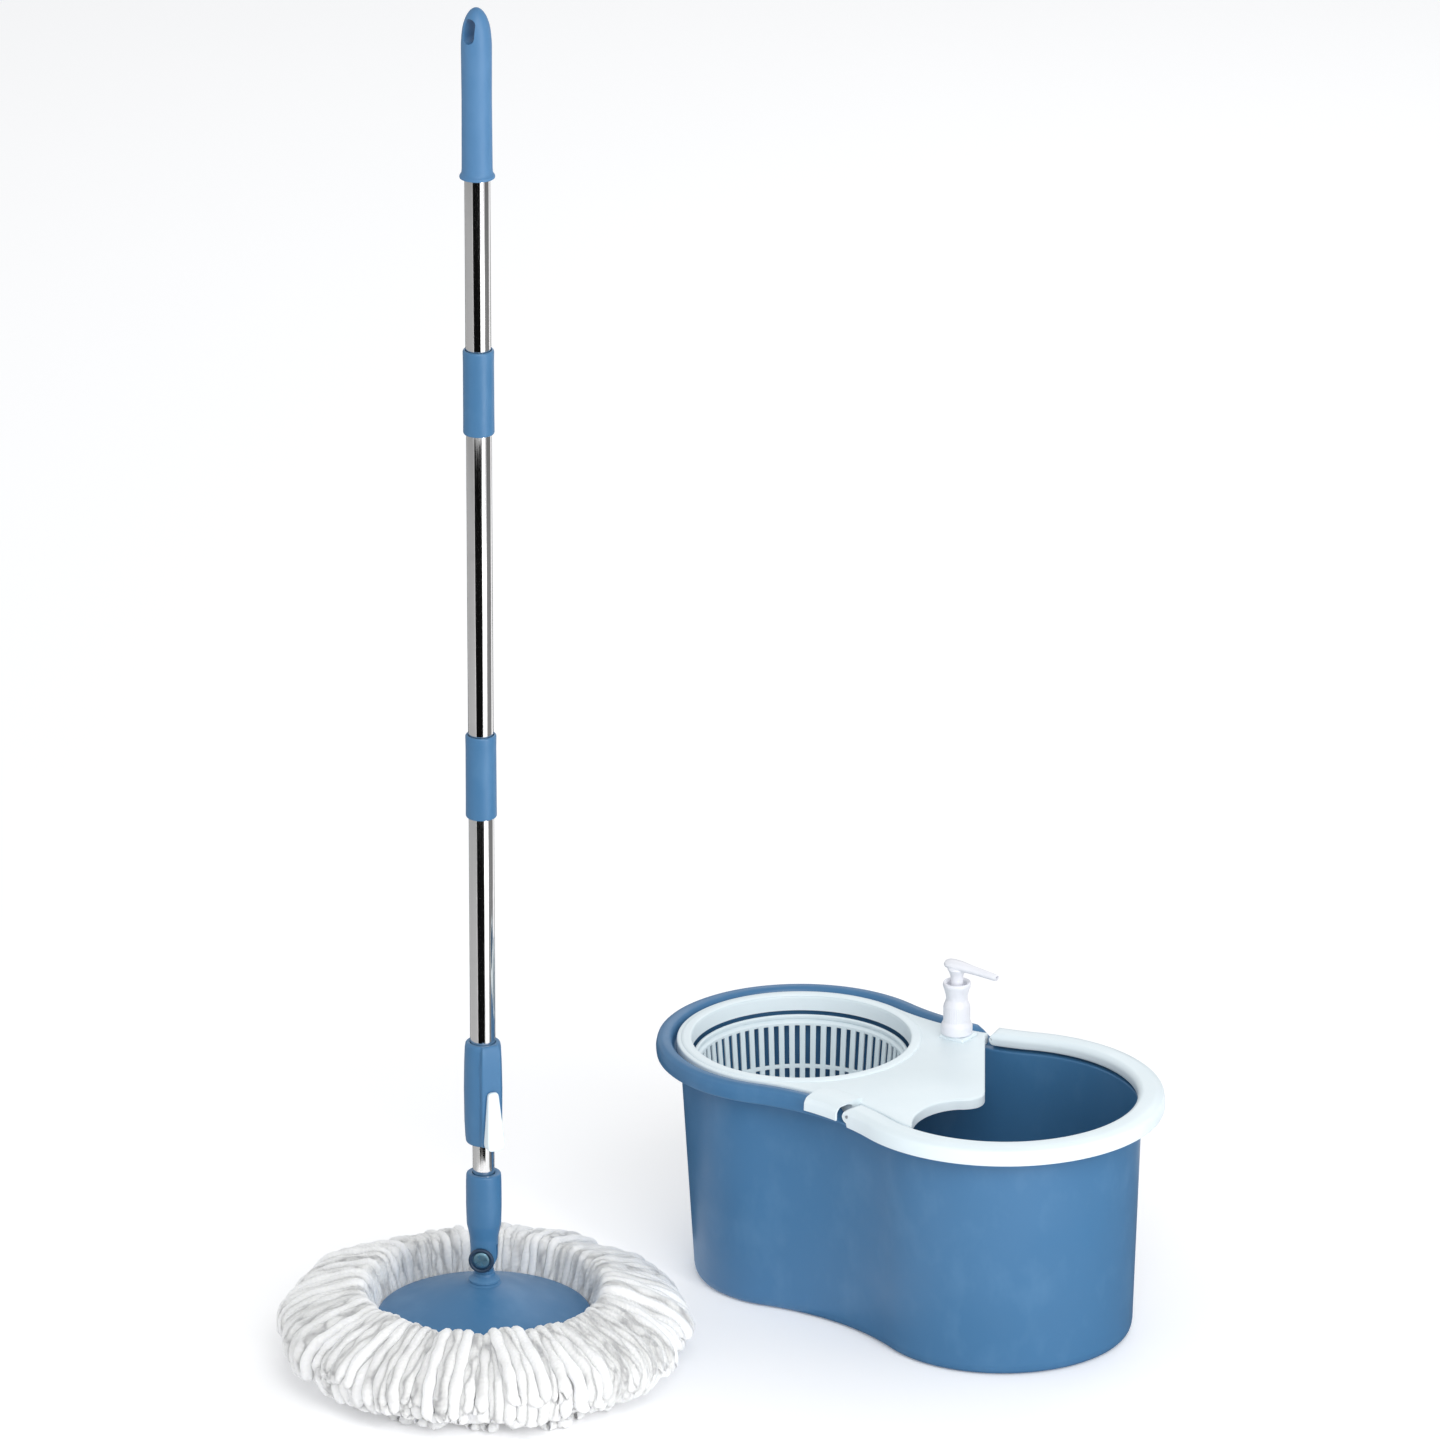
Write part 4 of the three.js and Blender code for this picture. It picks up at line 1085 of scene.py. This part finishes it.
def grip_piece():
    """The grip with its closed, narrowing end, and the hanging eye cut through that."""
    z0, z1 = heights("grip")
    profile = [(11.3, z0), (14.9, z0), (15.3, z0 + 0.8), (15.2, z0 + 2.4), (13.6, z0 + 4), (13.2, z0 + 8),
               (12.9, z0 + 70), (13.2, z1 - 32), (12.5, z1 - 22), (11.4, z1 - 15), (8.8, z1 - 7.5),
               (5.4, z1 - 2.4), (2.2, z1 - 0.2), (0, z1)]
    piece = lathe("grip_body", [(0, z0 + 94), (11.3, z0 + 94)] + profile, blue_grip, "pole", "grip",
                  MOP, sides=72, radius=3, steps=4)
    eye = []
    for centre, start in ((z1 - 14, 0.0), (z1 - 24, math.pi)):
        eye += [(5.8 * math.cos(a), centre + 5.8 * math.sin(a))
                for a in np.linspace(start, start + math.pi, 14)]
    n = len(eye)
    points = [(x, y, z) for y in (-30, 30) for x, z in eye]
    faces = [tuple(range(n)), tuple(range(2 * n - 1, n - 1, -1))]
    faces += [(i, n + i, n + (i + 1) % n, (i + 1) % n) for i in range(n)]
    on_axis = Matrix.Translation((pole_at.x, pole_at.y, 0))
    return bevel(cut(piece, points, faces, on_axis), 0.7, 3, 50)


grip_piece()

# ---------- lock ----------


def lock_housing():
    """A round housing with a flat pad under the lever, as sections at each height."""
    z0, z1 = heights("lock_housing")
    levels = [(z0, 14.2), (z0 + 1.2, 15.2), (z0 + 6, 15.8), (z0 + 20, 16.5), (z0 + 50, 16.8),
              (z0 + 74, 16.4), (z1 - 5, 15.8), (z1 - 1.4, 15.2), (z1, 14.4)]
    sides = 120
    bore = 11.3
    points = []
    for z, radius in levels:
        pad = min(1.0, (z - z0) / 4, (z1 - z) / 9)
        front = radius + (17.2 - radius) * pad
        for i in range(sides):
            a = 2 * math.pi * i / sides
            r = radius
            if math.cos(a) > 0:
                flat = min(front / math.cos(a), (7.5 + 2 * pad) / max(abs(math.sin(a)), 1e-6))
                r = (radius**12 + flat**12) ** (1 / 12) if flat > radius else radius
                r = min(r, max(flat, radius))
            points.append((r * math.cos(a), r * math.sin(a), z))
    for z in (z1, z0):
        points += [(x, y, z) for x, y in circle(0, 0, bore, sides)]
    faces = grid_faces(len(levels) + 2, sides, wrap_rows=True)
    return bevel(mesh_piece("lock_barrel", points, faces, blue, "pole", "lock_housing",
                            LOCK, sharp=25), 0.5, 2, 25)


lock_housing()


def lock_lever():
    """A tapered latch plate, wider and prouder towards its free lower end."""
    foot, top = heights("lock_lever")
    front = [(-8.4, foot + 5), (-7, foot + 1), (0, foot), (7, foot + 1), (8.4, foot + 5), (6, top - 16),
             (4.9, top - 2), (3, top), (-3, top), (-4.9, top - 2), (-6, top - 16)]
    front = rounded(front, 2, 3, closed=True)

    def proud(z):
        return 20.8 + 5.7 * min(1, (top - z) / (top - foot - 6))

    points = [(17.4, y, z) for y, z in front] + [(proud(z), y, z) for y, z in front]
    return bevel(mesh_piece("latch_plate", points, prism_faces(len(front)), white, "lever",
                            "lock_lever", LOCK), 1.0, 3, 40)


lock_lever()

# ---------- CAD pieces that stay: give each its finish ----------

KEPT = {
    "spindle_pin": steel, "hub_bush": steel, "handle_pin_back": steel, "handle_pin_front": steel,
    "soap_bottle": frosted, "pump_housing": pump_white, "pump_spring": steel, "dip_tube": frosted,
    "swivel_knuckle": blue, "yarn_ring": white, "drive_nut": white,
    "guide_bush": white, "spiral_bar": steel, "bar_anchor": white, "lower_plug": white,
    "upper_plug": white, "lever_pin": steel, "brake_shoe": rubber,
}
for node, material in KEPT.items():
    kept = frame["nodes"][node]
    kept.data.materials.clear()
    kept.data.materials.append(material)

# ---------- floor ----------

FLOOR_GLOW = 0.14
FLOOR_HALF, FLOOR_Z = 30.0, -0.0006  # metres


def floor_piece():
    s = Surface("pale_floor", (0.95, 0.95, 0.955), 0.6)
    s.tint(s.remap(s.noise(3, 4), 0.3, 0.7, 0, 0.4), (0.94, 0.94, 0.945))
    s.bump(s.noise(300, 2), 0.02, 0.0002)
    s.shader.inputs["Specular IOR Level"].default_value = 0
    s.shader.inputs["Emission Color"].default_value = (1, 1, 1, 1)
    s.shader.inputs["Emission Strength"].default_value = FLOOR_GLOW
    mesh = bpy.data.meshes.new("floor")
    e, z = FLOOR_HALF, FLOOR_Z
    mesh.from_pydata([(-e, -e, z), (e, -e, z), (e, e, z), (-e, e, z)], [], [(0, 1, 2, 3)])
    mesh.materials.append(s.material)
    ground = bpy.data.objects.new("floor", mesh)
    bpy.context.scene.collection.objects.link(ground)


floor_piece()
